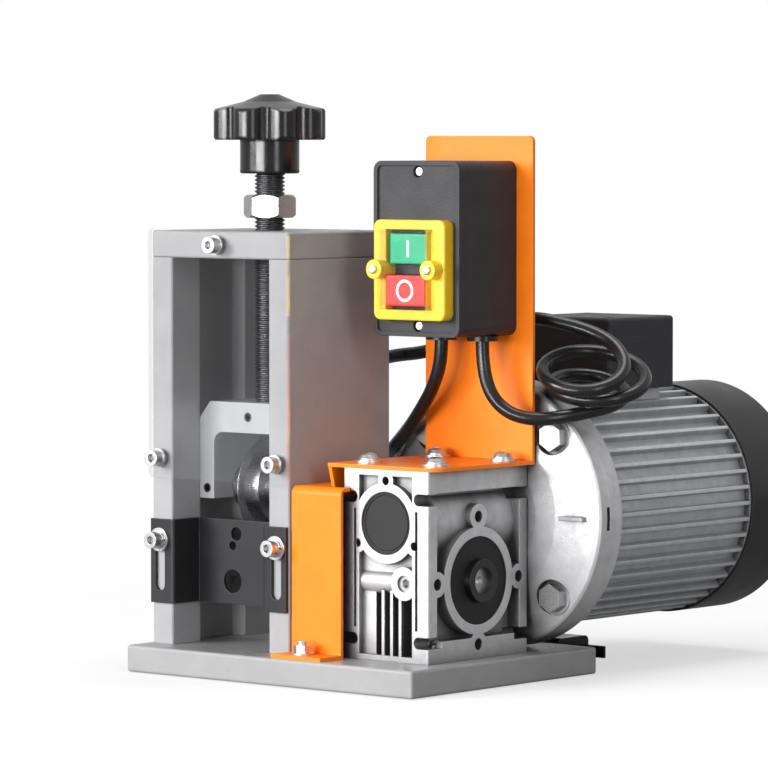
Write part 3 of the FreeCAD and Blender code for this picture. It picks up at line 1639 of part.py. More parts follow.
def cord_edges(name, points):
    """Straight runs along the points, joined by arcs that touch both of their runs."""
    points = [V(*p) for p in points]
    edges, radii, at = [], [], points[0]
    for before, corner, after in zip(points, points[1:], points[2:]):
        way_in, way_out = unit(corner - before), unit(after - corner)
        cut = arc_share * min((corner - before).Length, (after - corner).Length)
        half_turn = way_in.getAngle(way_out) / 2
        radius = cut / math.tan(half_turn)
        inward = unit(way_out - way_in) * radius * (1 / math.cos(half_turn) - 1)
        start, end = corner - way_in * cut, corner + way_out * cut
        edges += [line(at, start), Part.Arc(start, corner + inward, end).toShape()]
        radii.append(radius)
        at = end
    edges.append(line(at, points[-1]))
    print(f"{name} radii:", ", ".join(f"{r:.1f}" for r in radii))
    return edges


def tube(name, edges):
    """One round cord along the edges, with its volume set against section times length."""
    path = Part.Wire(edges)
    first = edges[0]
    start = first.valueAt(first.FirstParameter)
    profile = Part.Wire(Part.makeCircle(cord_d / 2, start, first.tangentAt(first.FirstParameter)))
    solid = path.makePipeShell([profile], True, False)
    share = solid.Volume / (math.pi * (cord_d / 2) ** 2 * path.Length)
    print(f"{name}: {path.Length:.1f} mm long, volume {share:.4f} of section times length")
    return solid


# The loose coil behind the switch panel

def coil_point(angle):
    """The coil's centre line: its middle drifts, its plane tips up and its radius changes."""
    share = (angle - coil_from_angle) / (coil_to_angle - coil_from_angle)
    bulge = 4 * share * (1 - share)
    heading = math.radians(coil_heading)
    across = V(math.cos(heading), math.sin(heading), 0)
    tilt = math.radians(coil_tilt_start + (coil_tilt_end - coil_tilt_start) * share)
    away = V(-math.sin(heading), math.cos(heading), 0) * math.cos(tilt)
    away = away + V(0, 0, math.sin(tilt))
    radius = coil_r_start + (coil_r_end - coil_r_start) * share - coil_r_dip * bulge
    centre = coil_middle_start + (coil_middle_end - coil_middle_start) * share
    centre = centre + across * coil_sway * bulge
    turn = math.radians(angle)
    return centre + across * radius * math.cos(turn) + away * radius * math.sin(turn)


def coil_way(angle):
    return unit(coil_point(angle + 0.5) - coil_point(angle - 0.5))


def biarc(p0, t0, p1, t1):
    """Two arcs of equal legs from p0 to p1, that leave along t0 and arrive along t1."""
    v, t = p1 - p0, t0 + t1
    a = 2 * (1 - t0.dot(t1))
    leg = (math.sqrt(v.dot(t) ** 2 + a * v.dot(v)) - v.dot(t)) / a
    q0, q1 = p0 + t0 * leg, p1 - t1 * leg
    joint = (q0 + q1) / 2
    return [leg_arc(p0, q0, joint), leg_arc(joint, q1, p1)]


def leg_arc(start, corner, end):
    """The arc from start to end that touches both of the corner's legs, which are equal."""
    middle = (start + end) / 2
    half_turn = (corner - start).getAngle(end - corner) / 2
    radius = (corner - start).Length / math.tan(half_turn)
    rise = unit(corner - middle) * radius * (1 - math.cos(half_turn))
    return Part.Arc(start, middle + rise, end).toShape()


def coil_edges():
    """The coil's turns on biarcs of about a quarter turn, with a straight end at each side."""
    step = (coil_to_angle - coil_from_angle) / coil_spans
    edges = [line(coil_start, coil_point(coil_from_angle))]
    for i in range(coil_spans):
        a0 = coil_from_angle + i * step
        a1 = a0 + step
        edges += biarc(coil_point(a0), coil_way(a0), coil_point(a1), coil_way(a1))
    edges.append(line(coil_point(coil_to_angle), coil_end))
    print_least_gap(edges)
    return edges


def print_least_gap(edges):
    """The coil's least gap to itself, on points of its centre line half a turn or more apart."""
    path = Part.Wire(edges)
    spacing = 1.0
    points = path.discretize(Distance=spacing)
    apart = int(math.pi * coil_r_start / spacing)
    least = min(a.distanceToPoint(b) for i, a in enumerate(points) for b in points[i + apart:])
    print(f"power_cord_coil: least gap to itself {least - cord_d:.2f} mm")


coil_middle_start = V(94.9, 55.6, 144.3)
coil_middle_end = V(101.8, 36.5, 166.6)
coil_start_way = coil_way(coil_from_angle)
coil_end_way = coil_way(coil_to_angle)
coil_start = coil_point(coil_from_angle) - coil_start_way * cord_d
coil_end = coil_point(coil_to_angle) + coil_end_way * cord_d


# The cord's free stretches and the motor's lead

gland_foot = switch_z0 - gland_flange_t
floor_z = cord_d / 2 + cord_lift

power_cord_points = [
    (power_x, switch_cords_y, gland_foot),
    (power_x, switch_cords_y, 162.5),
    (76.2, 12.4, 146.7),
    (86.8, 14.8, 137.4),
    (99.4, 20.3, 134.7),
    tuple(coil_start - coil_start_way * coil_lead_in),
    tuple(coil_start),
]

power_cord_tail_points = [
    tuple(coil_end),
    tuple(coil_end + coil_end_way * coil_lead_out),
    (63.0, 50.0, 184.5),
    (45.5, 45.3, 178.5),
    (27.0, 42.5, 170.5),
    (7.0, 41.0, 165.5),
    (-14.0, 42.0, 163.5),
    (-35.0, 48.0, 159.0),
    (-54.0, 59.0, 148.0),
    (-67.0, 73.0, 130.0),
    (-73.0, 86.0, 108.0),
    (-75.0, 96.0, 83.0),
    (-77.0, 99.0, 58.0),
    (-80.0, 102.0, 34.0),
    (-84.0, 110.0, 14.5),
    (-86.5, 123.0, 5.0),
    (-87.5, 140.0, floor_z),
    (-88.0, 172.0, floor_z),
    (-87.0, 204.3, floor_z),
    (-73.3, 218.0, floor_z),
    (-53.9, 218.0, floor_z),
    (-40.2, 204.3, floor_z),
    (-38.8, 172.0, floor_z),
    (-41.0, 142.0, floor_z),
    (-40.2, 112.0, floor_z),
    (-26.5, 98.3, floor_z),
    (-7.5, 97.5, 4.6),
    (4.5, 98.0, mains_plug_z),
    (13.5, 98.0, mains_plug_z),
]

motor_lead_points = [
    (lead_x, switch_cords_y, gland_foot),
    (lead_x, switch_cords_y, 163.5),
    (36.8, 14.0, 149.0),
    (24.5, 18.0, 136.0),
    (9.5, 25.5, 125.0),
    (-5.5, 32.0, 115.5),
    (-17.0, 42.5, 110.0),
    (-21.5, 57.5, 110.0),
    (-19.5, 72.5, 118.0),
    (-16.8, 86.0, 131.0),
    (-14.5, 96.0, 142.5),
    (-11.8, 105.0, 149.8),
    (-7.5, 113.0, 155.0),
    (-0.8, 121.0, 158.9),
    (9.5, lead_gland()[0], lead_gland()[1]),
    (gear_mid - terminal_w / 2 - gland_flange_t * 3, lead_gland()[0], lead_gland()[1]),
]


def power_plug():
    """A two-pin plug on the floor: a tapered sleeve, a body and two flat pins."""
    x, y, z = power_cord_tail_points[-1]
    back = x + mains_plug_sleeve_l
    front = back + mains_plug_l
    solid = lathe_x(y, z, [(0, x), (cord_d / 2, x), (mains_plug_sleeve_r, back), (0, back)])
    y0, y1 = y - mains_plug_w / 2, y + mains_plug_w / 2
    body = rounded_box(back, front, y0, y1, cord_lift, 2 * z - cord_lift, mains_plug_corner, (1, 0, 0))
    solid = solid.fuse(body)
    for side in (-1, 1):
        y0 = y + side * pin_pitch / 2 - pin_t / 2
        pin = box(front, front + pin_l, y0, y0 + pin_t, z - pin_w / 2, z + pin_w / 2)
        solid = solid.fuse(pin)
    return solid.removeSplitter()


save("base_plate", base_plate())
save("left_side_plate", side_plate(True))
save("right_side_plate", side_plate(False))
save("top_plate", top_plate())
save("head_screws", *head_screws())
save("shield", shield())
save("shield_screws", *shield_screw_set())
save("blade_block", blade_block())
save("block_set_screws", *block_set_screws())
save("blade_axle", blade_axle())
save("blade", blade())
save("blade_bearings", *blade_bearings())
save("adjusting_rod", adjusting_rod())
save("adjusting_knob", adjusting_knob())
save("lock_nut", lock_nut())
save("feed_guide", feed_guide())
save("feed_guide_bolts", *feed_guide_bolts())
save("drive_shaft_bearings", *drive_shaft_bearings())
save("drive_shaft", drive_shaft())
save("feed_roller", feed_roller())
save("gearbox_housing", gearbox_housing())
save("gearbox_cover", gearbox_cover())
save("gearbox_screws", *gearbox_screws())
save("gearbox_bearings", *gearbox_bearings())
save("oil_seals", *oil_seals())
save("worm_cap", worm_cap())
save("oil_plug", oil_plug())
save("output_sleeve", output_sleeve())
save("worm_wheel", worm_wheel())
save("worm_shaft", worm_shaft())
save("input_flange", input_flange())
save("flange_bolts", *flange_bolts())
save("motor_front_shield", motor_front_shield())
save("motor_body", motor_body())
save("motor_stator", *motor_stator())
save("motor_rotor", motor_rotor())
save("motor_bearings", *motor_bearings())
save("motor_rear_shield", motor_rear_shield())
save("cooling_fan", cooling_fan())
save("fan_cover", fan_cover())
save("terminal_box", terminal_box())
save("terminal_box_lid", terminal_box_lid())
save("control_bracket", control_bracket())
save("bracket_bolts", *bracket_bolts())
save("shaft_guard", shaft_guard())
save("guard_bolt", *guard_bolt_set())
save("switch_box", switch_box())
save("switch_box_lid", switch_box_lid())
save("enclosure_screws", *enclosure_screws(), *frame_screws())
save("switch_frame", switch_frame())
save("switch_module", switch_module())
save("green_button", button(*buttons()[0]))
save("red_button", button(*buttons()[1]))
save("button_cover", button_cover())
save("cable_glands", *cable_glands())
save("motor_lead", tube("motor_lead", cord_edges("motor_lead", motor_lead_points)))
save("power_cord", tube("power_cord", cord_edges("power_cord", power_cord_points)))
save("power_cord_coil", tube("power_cord_coil", coil_edges()))
save("power_cord_tail", tube("power_cord_tail", cord_edges("power_cord_tail", power_cord_tail_points)))
save("power_plug", power_plug())
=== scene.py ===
import json
import math

import bpy
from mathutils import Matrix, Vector


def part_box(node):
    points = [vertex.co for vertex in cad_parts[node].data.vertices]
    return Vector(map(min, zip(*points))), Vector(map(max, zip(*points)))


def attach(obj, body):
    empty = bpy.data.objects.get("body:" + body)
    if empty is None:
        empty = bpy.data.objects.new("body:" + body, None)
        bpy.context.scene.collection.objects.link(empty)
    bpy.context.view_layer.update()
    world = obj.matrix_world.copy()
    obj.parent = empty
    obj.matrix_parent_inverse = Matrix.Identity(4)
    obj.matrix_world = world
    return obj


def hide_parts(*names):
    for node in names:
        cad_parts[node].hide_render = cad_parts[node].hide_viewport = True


# A bench wire stripping machine, dressed over its solid model. Everything is in metres.

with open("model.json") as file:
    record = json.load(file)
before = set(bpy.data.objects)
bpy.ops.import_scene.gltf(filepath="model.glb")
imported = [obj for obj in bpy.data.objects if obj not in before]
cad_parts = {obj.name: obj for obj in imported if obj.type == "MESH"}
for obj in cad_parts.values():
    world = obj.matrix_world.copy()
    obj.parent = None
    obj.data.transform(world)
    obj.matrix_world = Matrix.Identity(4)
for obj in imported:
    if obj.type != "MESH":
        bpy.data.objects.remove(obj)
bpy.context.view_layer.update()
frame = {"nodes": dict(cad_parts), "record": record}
nodes = frame["nodes"]
mm = 0.001


# Camera, from the front right and a little above

camera = bpy.data.objects.new("camera", bpy.data.cameras.new("camera"))
bpy.context.collection.objects.link(camera)
camera.data.lens = 224.4
camera.data.sensor_width = 36.0
camera.location = (1.6133, -1.8867, 0.2806)
camera.rotation_euler = (math.radians(87.0), 0.0, math.radians(40.26))
bpy.context.scene.camera = camera


# Cords

cord_d = 7.0
terminal_side = (20.5, 126.0, 160.0)
coil_from, coil_to = -60.0, 790.0
coil_step = 17.0
coil_heading = math.radians(40.3)
coil_tilt_start, coil_tilt_end = 14.7, 31.8
coil_r_start, coil_r_end, coil_r_dip = 24.0, 28.6, 2.7
coil_middle_start = Vector((94.9, 55.6, 144.3))
coil_middle_end = Vector((101.8, 36.5, 166.6))
coil_sway = 17.7
coil_lead_in, coil_lead_out = 12.8, 12.0


def coil_point(angle):
    """The loose coil's centre line: its middle drifts, its plane tips up, its radius changes."""
    share = (angle - coil_from) / (coil_to - coil_from)
    bulge = 4 * share * (1 - share)
    across = Vector((math.cos(coil_heading), math.sin(coil_heading), 0))
    tilt = math.radians(coil_tilt_start + (coil_tilt_end - coil_tilt_start) * share)
    away = Vector((-math.sin(coil_heading), math.cos(coil_heading), 0)) * math.cos(tilt)
    away.z = math.sin(tilt)
    radius = coil_r_start + (coil_r_end - coil_r_start) * share - coil_r_dip * bulge
    centre = coil_middle_start.lerp(coil_middle_end, share) + across * coil_sway * bulge
    turn = math.radians(angle)
    return centre + across * radius * math.cos(turn) + away * radius * math.sin(turn)


def coil_way(angle):
    return (coil_point(angle + 0.5) - coil_point(angle - 0.5)).normalized()


def coil_route():
    """The coil's turns, with a straight end of one diameter at each side."""
    count = round((coil_to - coil_from) / coil_step)
    turns = [coil_point(coil_from + i * coil_step) for i in range(count + 1)]
    start = turns[0] - coil_way(coil_from) * cord_d
    end = turns[-1] + coil_way(coil_to) * cord_d
    first = start - coil_way(coil_from) * coil_lead_in
    last = end + coil_way(coil_to) * coil_lead_out
    return [first, start, *turns, end, last]


power_route = [
    (70.5, 13.0, 174.5),
    (70.5, 13.0, 162.5),
    (76.2, 12.4, 146.7),
    (86.8, 14.8, 137.4),
    (99.4, 20.3, 134.7),
    *coil_route(),
    (63.0, 50.0, 184.5),
    (45.5, 45.3, 178.5),
    (27.0, 42.5, 170.5),
    (7.0, 41.0, 165.5),
    (-14.0, 42.0, 163.5),
    (-35.0, 48.0, 159.0),
    (-54.0, 59.0, 148.0),
    (-67.0, 73.0, 130.0),
    (-73.0, 86.0, 108.0),
    (-75.0, 96.0, 83.0),
    (-77.0, 99.0, 58.0),
    (-80.0, 102.0, 34.0),
    (-84.0, 110.0, 14.5),
    (-86.5, 123.0, 5.0),
    (-87.5, 140.0, 3.6),
    (-88.0, 172.0, 3.6),
    (-87.0, 204.3, 3.6),
    (-73.3, 218.0, 3.6),
    (-53.9, 218.0, 3.6),
    (-40.2, 204.3, 3.6),
    (-38.8, 172.0, 3.6),
    (-41.0, 142.0, 3.6),
    (-40.2, 112.0, 3.6),
    (-26.5, 98.3, 3.6),
    (-7.5, 97.5, 4.6),
    (4.5, 98.0, 7.6),
    (13.5, 98.0, 7.6),
]

lead_route = [
    (43.3, 13.0, 174.5),
    (43.3, 13.0, 163.5),
    (36.8, 14.0, 149.0),
    (24.5, 18.0, 136.0),
    (9.5, 25.5, 125.0),
    (-5.5, 32.0, 115.5),
    (-17.0, 42.5, 110.0),
    (-21.5, 57.5, 110.0),
    (-19.5, 72.5, 118.0),
    (-16.8, 86.0, 131.0),
    (-14.5, 96.0, 142.5),
    (-11.8, 105.0, 149.8),
    (-7.5, 113.0, 155.0),
    (-0.8, 121.0, 158.9),
    (9.5, 126.0, 160.0),
    terminal_side,
]


def cord_curve(name, route):
    """A round cord on one smooth curve that follows the route."""
    curve = bpy.data.curves.new(name, "CURVE")
    curve.dimensions = "3D"
    # A curve's bound box grows by its points' radius, so the points hold the cord's radius.
    curve.bevel_depth = 1.0
    curve.bevel_resolution = 6
    curve.resolution_u = 8
    curve.use_fill_caps = True
    spline = curve.splines.new("NURBS")
    spline.points.add(len(route) - 1)
    for point, place in zip(spline.points, route):
        point.co = (*(Vector(place) * mm), 1.0)
        point.radius = cord_d / 2 * mm
    spline.order_u = 3
    spline.use_endpoint_u = True
    piece = bpy.data.objects.new(name, curve)
    bpy.context.collection.objects.link(piece)
    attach(piece, "frame")
    return piece


cord = cord_curve("mains_cord", power_route)
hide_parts("power_cord", "power_cord_coil", "power_cord_tail")
lead = cord_curve("lead_to_motor", lead_route)
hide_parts("motor_lead")


# Materials

# How alike the softened and the true normal are on a sharp edge, and where wear ends
edge_sharp, edge_flat = 0.86, 0.995
# How open a spot is in a deep corner, and where the painted corner shade ends
corner_deep, corner_open = 0.35, 0.95
# How far the true normal lies along Y on a clear sheet's edges, and on its faces
sheet_edge, sheet_face = 0.5, 0.9


def new_material(name, colour, roughness, metallic=0.0, **sockets):
    """A material with its plain values set straight on the shader."""
    material = bpy.data.materials.new(name)
    material.use_nodes = True
    shader = material.node_tree.nodes["Principled BSDF"]
    shader.inputs["Base Color"].default_value = (*colour, 1.0)
    shader.inputs["Roughness"].default_value = roughness
    shader.inputs["Metallic"].default_value = metallic
    for socket, value in sockets.items():
        shader.inputs[socket.replace("_", " ")].default_value = value
    return material


def add(material, kind, **values):
    """A new node in a material, with its sockets or its settings filled in by name."""
    node = material.node_tree.nodes.new(kind)
    for key, value in values.items():
        if key in node.inputs:
            node.inputs[key].default_value = value
        else:
            setattr(node, key, value)
    return node


def link(material, start, end):
    material.node_tree.links.new(start, end)


def shader_of(material):
    return material.node_tree.nodes["Principled BSDF"]


def place_of(material, stretch=(1, 1, 1)):
    """The surface's own place in metres, stretched along each axis."""
    place = add(material, "ShaderNodeTexCoord")
    mapping = add(material, "ShaderNodeMapping", Scale=stretch)
    link(material, place.outputs["Object"], mapping.inputs["Vector"])
    return mapping.outputs["Vector"]


def noise(material, scale, detail=3.0, roughness=0.5, stretch=(1, 1, 1)):
    """Noise over the surface's own place, from 0 to 1."""
    node = add(material, "ShaderNodeTexNoise", Scale=scale, Detail=detail, Roughness=roughness)
    link(material, place_of(material, stretch), node.inputs["Vector"])
    return node.outputs["Fac"]


def spread(material, value, low, high, from_low=0.3, from_high=0.7):
    """A value stretched from one range to another, and held at both ends."""
    node = add(material, "ShaderNodeMapRange")
    node.inputs["From Min"].default_value = from_low
    node.inputs["From Max"].default_value = from_high
    node.inputs["To Min"].default_value = low
    node.inputs["To Max"].default_value = high
    link(material, value, node.inputs["Value"])
    return node.outputs["Result"]


def vary_colour(material, fac, first, second):
    """The base colour wanders between two colours."""
    mix = add(material, "ShaderNodeMix", data_type="RGBA")
    mix.inputs["A"].default_value = (*first, 1.0)
    mix.inputs["B"].default_value = (*second, 1.0)
    link(material, fac, mix.inputs["Factor"])
    link(material, mix.outputs["Result"], shader_of(material).inputs["Base Color"])
    return mix


def vary_roughness(material, fac, low, high):
    """The roughness wanders between two values."""
    link(material, spread(material, fac, low, high), shader_of(material).inputs["Roughness"])


def worn_edges(material, mix_into, colour, radius, amount):
    """Edges that are rubbed a little brighter, found where a softened normal leaves the true one."""
    soft = add(material, "ShaderNodeBevel", samples=4, Radius=radius)
    true = add(material, "ShaderNodeNewGeometry")
    dot = add(material, "ShaderNodeVectorMath", operation="DOT_PRODUCT")
    link(material, soft.outputs["Normal"], dot.inputs[0])
    link(material, true.outputs["Normal"], dot.inputs[1])
    edge = spread(material, dot.outputs["Value"], amount, 0.0, edge_sharp, edge_flat)
    mix = add(material, "ShaderNodeMix", data_type="RGBA")
    mix.inputs["B"].default_value = (*colour, 1.0)
    link(material, edge, mix.inputs["Factor"])
    link(material, mix_into.outputs["Result"], mix.inputs["A"])
    link(material, mix.outputs["Result"], shader_of(material).inputs["Base Color"])
    return mix


def painted_corner_shade(material, mix_into, colour, reach, amount):
    """Painted shade: corners and pockets get a darker colour, the more closed in they are."""
    # Painted shade: ambient occlusion darkens the base colour where the surface is closed in
    near = add(material, "ShaderNodeAmbientOcclusion", samples=6, Distance=reach)
    dark = spread(material, near.outputs["AO"], amount, 0.0, corner_deep, corner_open)
    mix = add(material, "ShaderNodeMix", data_type="RGBA")
    mix.inputs["B"].default_value = (*colour, 1.0)
    link(material, dark, mix.inputs["Factor"])
    link(material, mix_into.outputs["Result"], mix.inputs["A"])
    link(material, mix.outputs["Result"], shader_of(material).inputs["Base Color"])
    return mix


def bumpy(material, height, distance, strength=1.0, edge=0.0):
    """Bumps from a height value, over edges rounded by a small radius."""
    bump = add(material, "ShaderNodeBump", Strength=strength, Distance=distance)
    link(material, height, bump.inputs["Height"])
    if edge:
        soft = add(material, "ShaderNodeBevel", samples=4, Radius=edge)
        link(material, soft.outputs["Normal"], bump.inputs["Normal"])
    link(material, bump.outputs["Normal"], shader_of(material).inputs["Normal"])


def paint(name, colour, roughness, edge_colour, worn=0.35, peel=0.00004, edge=0.0006):
    """Paint on metal: faint orange peel, uneven gloss and rubbed edges."""
    material = new_material(name, colour, roughness, Specular_IOR_Level=0.3, Coat_Weight=0.04)
    shade = tuple(c * 0.9 for c in colour)
    mix = vary_colour(material, spread(material, noise(material, 60, 4), 0, 1), colour, shade)
    worn_edges(material, mix, edge_colour, edge * 1.5, worn)
    vary_roughness(material, noise(material, 35, 3), roughness - 0.06, roughness + 0.08)
    bumpy(material, noise(material, 900, 2), peel, edge=edge)
    return material


def powder_coat(name, colour, roughness, edge_colour):
    """Powder coat: a fine pebbled skin."""
    return paint(name, colour, roughness, edge_colour, worn=0.2, peel=0.00008, edge=0.0009)


def cast_metal(name, colour, roughness, grain=1400, depth=0.00012, pocket_shade=0.5, metallic=0.75):
    """Blasted cast metal: coarse grain, patches of shine, and painted shade in its pockets."""
    material = new_material(name, colour, roughness, metallic)
    shade = tuple(c * 0.8 for c in colour)
    mix = vary_colour(material, spread(material, noise(material, 120, 5, 0.6), 0, 1), colour, shade)
    bright = tuple(min(c * 1.25, 0.92) for c in colour)
    mix = worn_edges(material, mix, bright, 0.0009, 0.6)
    # Painted shade: pockets and corners darken towards a tenth of the casting's colour
    painted_corner_shade(material, mix, tuple(c * 0.1 for c in colour), 0.02, pocket_shade)
    vary_roughness(material, noise(material, 240, 4), roughness - 0.1, roughness + 0.12)
    bumpy(material, noise(material, grain, 4, 0.6), depth, edge=0.0008)
    return material


def machined(name, colour, roughness, stretch=(1, 1, 40), lines=300):
    """Turned or ground metal: fine lines along one way."""
    material = new_material(name, colour, roughness, 1.0, Anisotropic=0.4)
    grain = noise(material, lines, 3, 0.6, stretch)
    vary_colour(material, spread(material, grain, 0, 1), colour, tuple(c * 0.78 for c in colour))
    vary_roughness(material, grain, roughness - 0.08, roughness + 0.1)
    bumpy(material, grain, 0.00002, edge=0.0004)
    return material


def moulded(name, colour, roughness, grain=1800, depth=0.00005, edge=0.0005, **sockets):
    """Moulded plastic: fine grain and soft edges."""
    material = new_material(name, colour, roughness, **sockets)
    shade = tuple(c * 0.85 for c in colour)
    mix = vary_colour(material, spread(material, noise(material, 90, 3), 0, 1), colour, shade)
    worn_edges(material, mix, tuple(min(c * 1.3 + 0.02, 1.0) for c in colour), edge * 1.5, 0.3)
    vary_roughness(material, noise(material, 70, 3), roughness - 0.05, roughness + 0.07)
    bumpy(material, noise(material, grain, 2), depth, edge=edge)
    return material


def clear(name, colour, roughness, scratches, cover, edge_cover):
    """A thin clear sheet: it lets nearly everything through, mirrors a little and shows its edges."""
    material = new_material(name, colour, roughness, 1.0, Alpha=cover)
    marks = noise(material, 90, 4, 0.7, (1, 1, 12))
    vary_roughness(material, marks, roughness, roughness + scratches)
    vary_colour(material, spread(material, marks, 0, 1), colour, tuple(c * 0.9 for c in colour))
    true = add(material, "ShaderNodeNewGeometry")
    facing = add(material, "ShaderNodeSeparateXYZ")
    link(material, true.outputs["True Normal"], facing.inputs["Vector"])
    flat = add(material, "ShaderNodeMath", operation="ABSOLUTE")
    link(material, facing.outputs["Y"], flat.inputs[0])
    shown = spread(material, flat.outputs["Value"], edge_cover, cover, sheet_edge, sheet_face)
    link(material, shown, shader_of(material).inputs["Alpha"])
    return material


finish = {
    "base_paint": paint("base_enamel", (0.33, 0.33, 0.335), 0.32, (0.52, 0.52, 0.53)),
    "head_paint": powder_coat("head_coat", (0.34, 0.34, 0.35), 0.42, (0.56, 0.56, 0.57)),
    "block_paint": powder_coat("block_coat", (0.42, 0.425, 0.44), 0.4, (0.6, 0.6, 0.61)),
    "orange_paint": paint("orange_enamel", (1.0, 0.22, 0.004), 0.42, (1.0, 0.4, 0.1)),
    "black_paint": paint("black_enamel", (0.018, 0.018, 0.02), 0.38, (0.12, 0.12, 0.12)),
    "black_steel": machined("blackened_steel", (0.075, 0.073, 0.075), 0.38),
    "bright_steel": machined("zinc_plate", (0.6, 0.6, 0.6), 0.32),
    "dark_thread": machined("oiled_steel", (0.14, 0.14, 0.145), 0.33, (1, 1, 1)),
    "blade_steel": machined("ground_steel", (0.52, 0.52, 0.54), 0.26),
    "core_iron": cast_metal("laminated_iron", (0.25, 0.22, 0.2), 0.5),
    "wheel_bronze": machined("bronze", (0.6, 0.42, 0.18), 0.3),
    # The two castings below get painted shade in their pockets, strong on the gearbox and light on
    # the motor
    "cast_aluminium": cast_metal(
        "gearbox_casting", (0.64, 0.64, 0.655), 0.42, 1400, 0.00014, 0.95, 0.5
    ),
    "motor_aluminium": cast_metal(
        "motor_casting", (0.62, 0.63, 0.65), 0.44, 1000, 0.0001, 0.35, 0.5
    ),
    "seal_rubber": moulded("seal_skin", (0.02, 0.02, 0.021), 0.5, 900, Specular_IOR_Level=0.25),
    "cord_rubber": moulded(
        "cord_sheath", (0.01, 0.01, 0.011), 0.26, 700, 0.00003, 0.0, Specular_IOR_Level=0.35
    ),
    "black_plastic": moulded(
        "black_moulding", (0.03, 0.03, 0.034), 0.46, 1500, 0.00012, Specular_IOR_Level=0.28
    ),
    "knob_plastic": moulded(
        "knob_phenolic", (0.008, 0.008, 0.009), 0.18, 300, 0.00002, 0.0016, Specular_IOR_Level=0.4
    ),
    "yellow_plastic": moulded("yellow_moulding", (1.0, 0.62, 0.02), 0.28, 600, 0.00002),
    "green_plastic": moulded("green_moulding", (0.0, 0.42, 0.2), 0.3, 600, 0.00002),
    "red_plastic": moulded("red_moulding", (0.95, 0.03, 0.025), 0.3, 600, 0.00002),
    "clear_sheet": clear("clear_acrylic", (0.85, 0.87, 0.88), 0.04, 0.06, 0.04, 0.25),
    "clear_film": clear("clear_boot", (0.9, 0.9, 0.9), 0.06, 0.06, 0.06, 0.25),
}

slot_of = {part["node"]: part["material_slot"] for part in frame["record"]["subparts"]}
for name, node in nodes.items():
    for slot in node.material_slots:
        slot.material = finish[slot_of[name]]
for piece in (cord, lead):
    piece.data.materials.append(finish["cord_rubber"])


# Helpers for new pieces

def mesh_piece(name, body, vertices, faces, material, smooth=True):
    """A new piece on a body. Without a slot it keeps its own finish."""
    mesh = bpy.data.meshes.new(name)
    mesh.from_pydata(vertices, [], faces)
    mesh.update()
    for face in mesh.polygons:
        face.use_smooth = smooth
    piece = bpy.data.objects.new(name, mesh)
    bpy.context.collection.objects.link(piece)
    piece.data.materials.append(material)
    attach(piece, body)
    return piece


# The clear shield, its back face held a hair off the painted plates behind it

shield_air = 0.1 * mm


def clear_shield():
    mesh = nodes["shield"].data.copy()
    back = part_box("shield")[1].y
    for vertex in mesh.vertices:
        if vertex.co.y > back - shield_air:
            vertex.co.y -= shield_air
    piece = bpy.data.objects.new("clear_shield", mesh)
    bpy.context.collection.objects.link(piece)
    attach(piece, "frame")
    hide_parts("shield")


clear_shield()


# The thread of the adjusting rod, one helical ridge of 2 mm pitch

thread_pitch = 2.0 * mm
thread_major, thread_minor, neck_r = 7.98 * mm, 6.77 * mm, 6.2 * mm
neck_from, neck_to, plain_to = 4.1 * mm, 9.9 * mm, 13.0 * mm
root_share, flank_share = 0.12, 0.72
end_chamfer = 1.0 * mm
rod_sides, rows_per_pitch = 36, 8


def rod_radius(up, turn, length):
    """The rod's radius at a height over its lower end and at a share of a turn."""
    end = min(up, length - up)
    if end < end_chamfer:
        return thread_major - end_chamfer + end
    if up < plain_to:
        return neck_r if neck_from < up < neck_to else thread_major
    ridge = 1 - abs(2 * ((up / thread_pitch - turn) % 1) - 1)
    flank = min(max((ridge - root_share) / flank_share, 0), 1)
    return thread_minor + (thread_major - thread_minor) * flank


def threaded_rod():
    low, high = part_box("adjusting_rod")
    middle = (low + high) / 2
    length = high.z - low.z
    sides, rows = rod_sides, round(length / thread_pitch * rows_per_pitch)
    vertices, faces = [], []
    for row in range(rows + 1):
        up = length * row / rows
        for side in range(sides):
            turn = side / sides
            radius = rod_radius(up, turn, length)
            angle = 2 * math.pi * turn
            x, y = middle.x + radius * math.cos(angle), middle.y + radius * math.sin(angle)
            vertices.append((x, y, low.z + up))
    for row in range(rows):
        for side in range(sides):
            a, b = row * sides + side, row * sides + (side + 1) % sides
            faces.append((a, b, b + sides, a + sides))
    faces.append(tuple(range(sides - 1, -1, -1)))
    faces.append(tuple(range(rows * sides, rows * sides + sides)))
    steel = finish["dark_thread"]
    rod = mesh_piece("threaded_rod", "adjusting_screw", vertices, faces, steel)
    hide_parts("adjusting_rod")


threaded_rod()


# The marks on the two buttons, plain printed bar and ring

mark_white = new_material("mark_white", (0.85, 0.85, 0.84), 0.45)
mark_skin = 0.06 * mm
bar_x, bar_z = 0.8, 4.2
bar = [(-bar_x, -bar_z), (bar_x, -bar_z), (bar_x, bar_z), (-bar_x, bar_z)]
ring_out, ring_in = 5.7, 4.2


def mark(name, body, button, outline_out, outline_in=None):
    """A flat printed mark on a button's face, from one outline, or a band between two."""
    low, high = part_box(button)
    middle = (low + high) / 2
    count = len(outline_out)
    loops = [outline_out] if outline_in is None else [outline_out, outline_in]
    vertices = []
    for depth in (0.0, mark_skin):
        for loop in loops:
            y = low.y - mark_skin + depth
            vertices += [(middle.x + x * mm, y, middle.z + z * mm) for x, z in loop]
    back = count * len(loops)
    faces = []
    for i in range(count):
        j = (i + 1) % count
        faces.append((i, i + back, j + back, j))
        if outline_in is not None:
            faces.append((i, j, j + count, i + count))
            faces.append((i + count, j + count, j + count + back, i + count + back))
            faces.append((i + back, i + count + back, j + count + back, j + back))
    if outline_in is None:
        faces.append(tuple(range(count)))
        faces.append(tuple(range(2 * count - 1, count - 1, -1)))
    mesh_piece(name, body, vertices, faces, mark_white, smooth=False)


def circle(radius, count=48):
    turns = [2 * math.pi * i / count for i in range(count)]
    return [(radius * math.cos(a), radius * math.sin(a)) for a in turns]


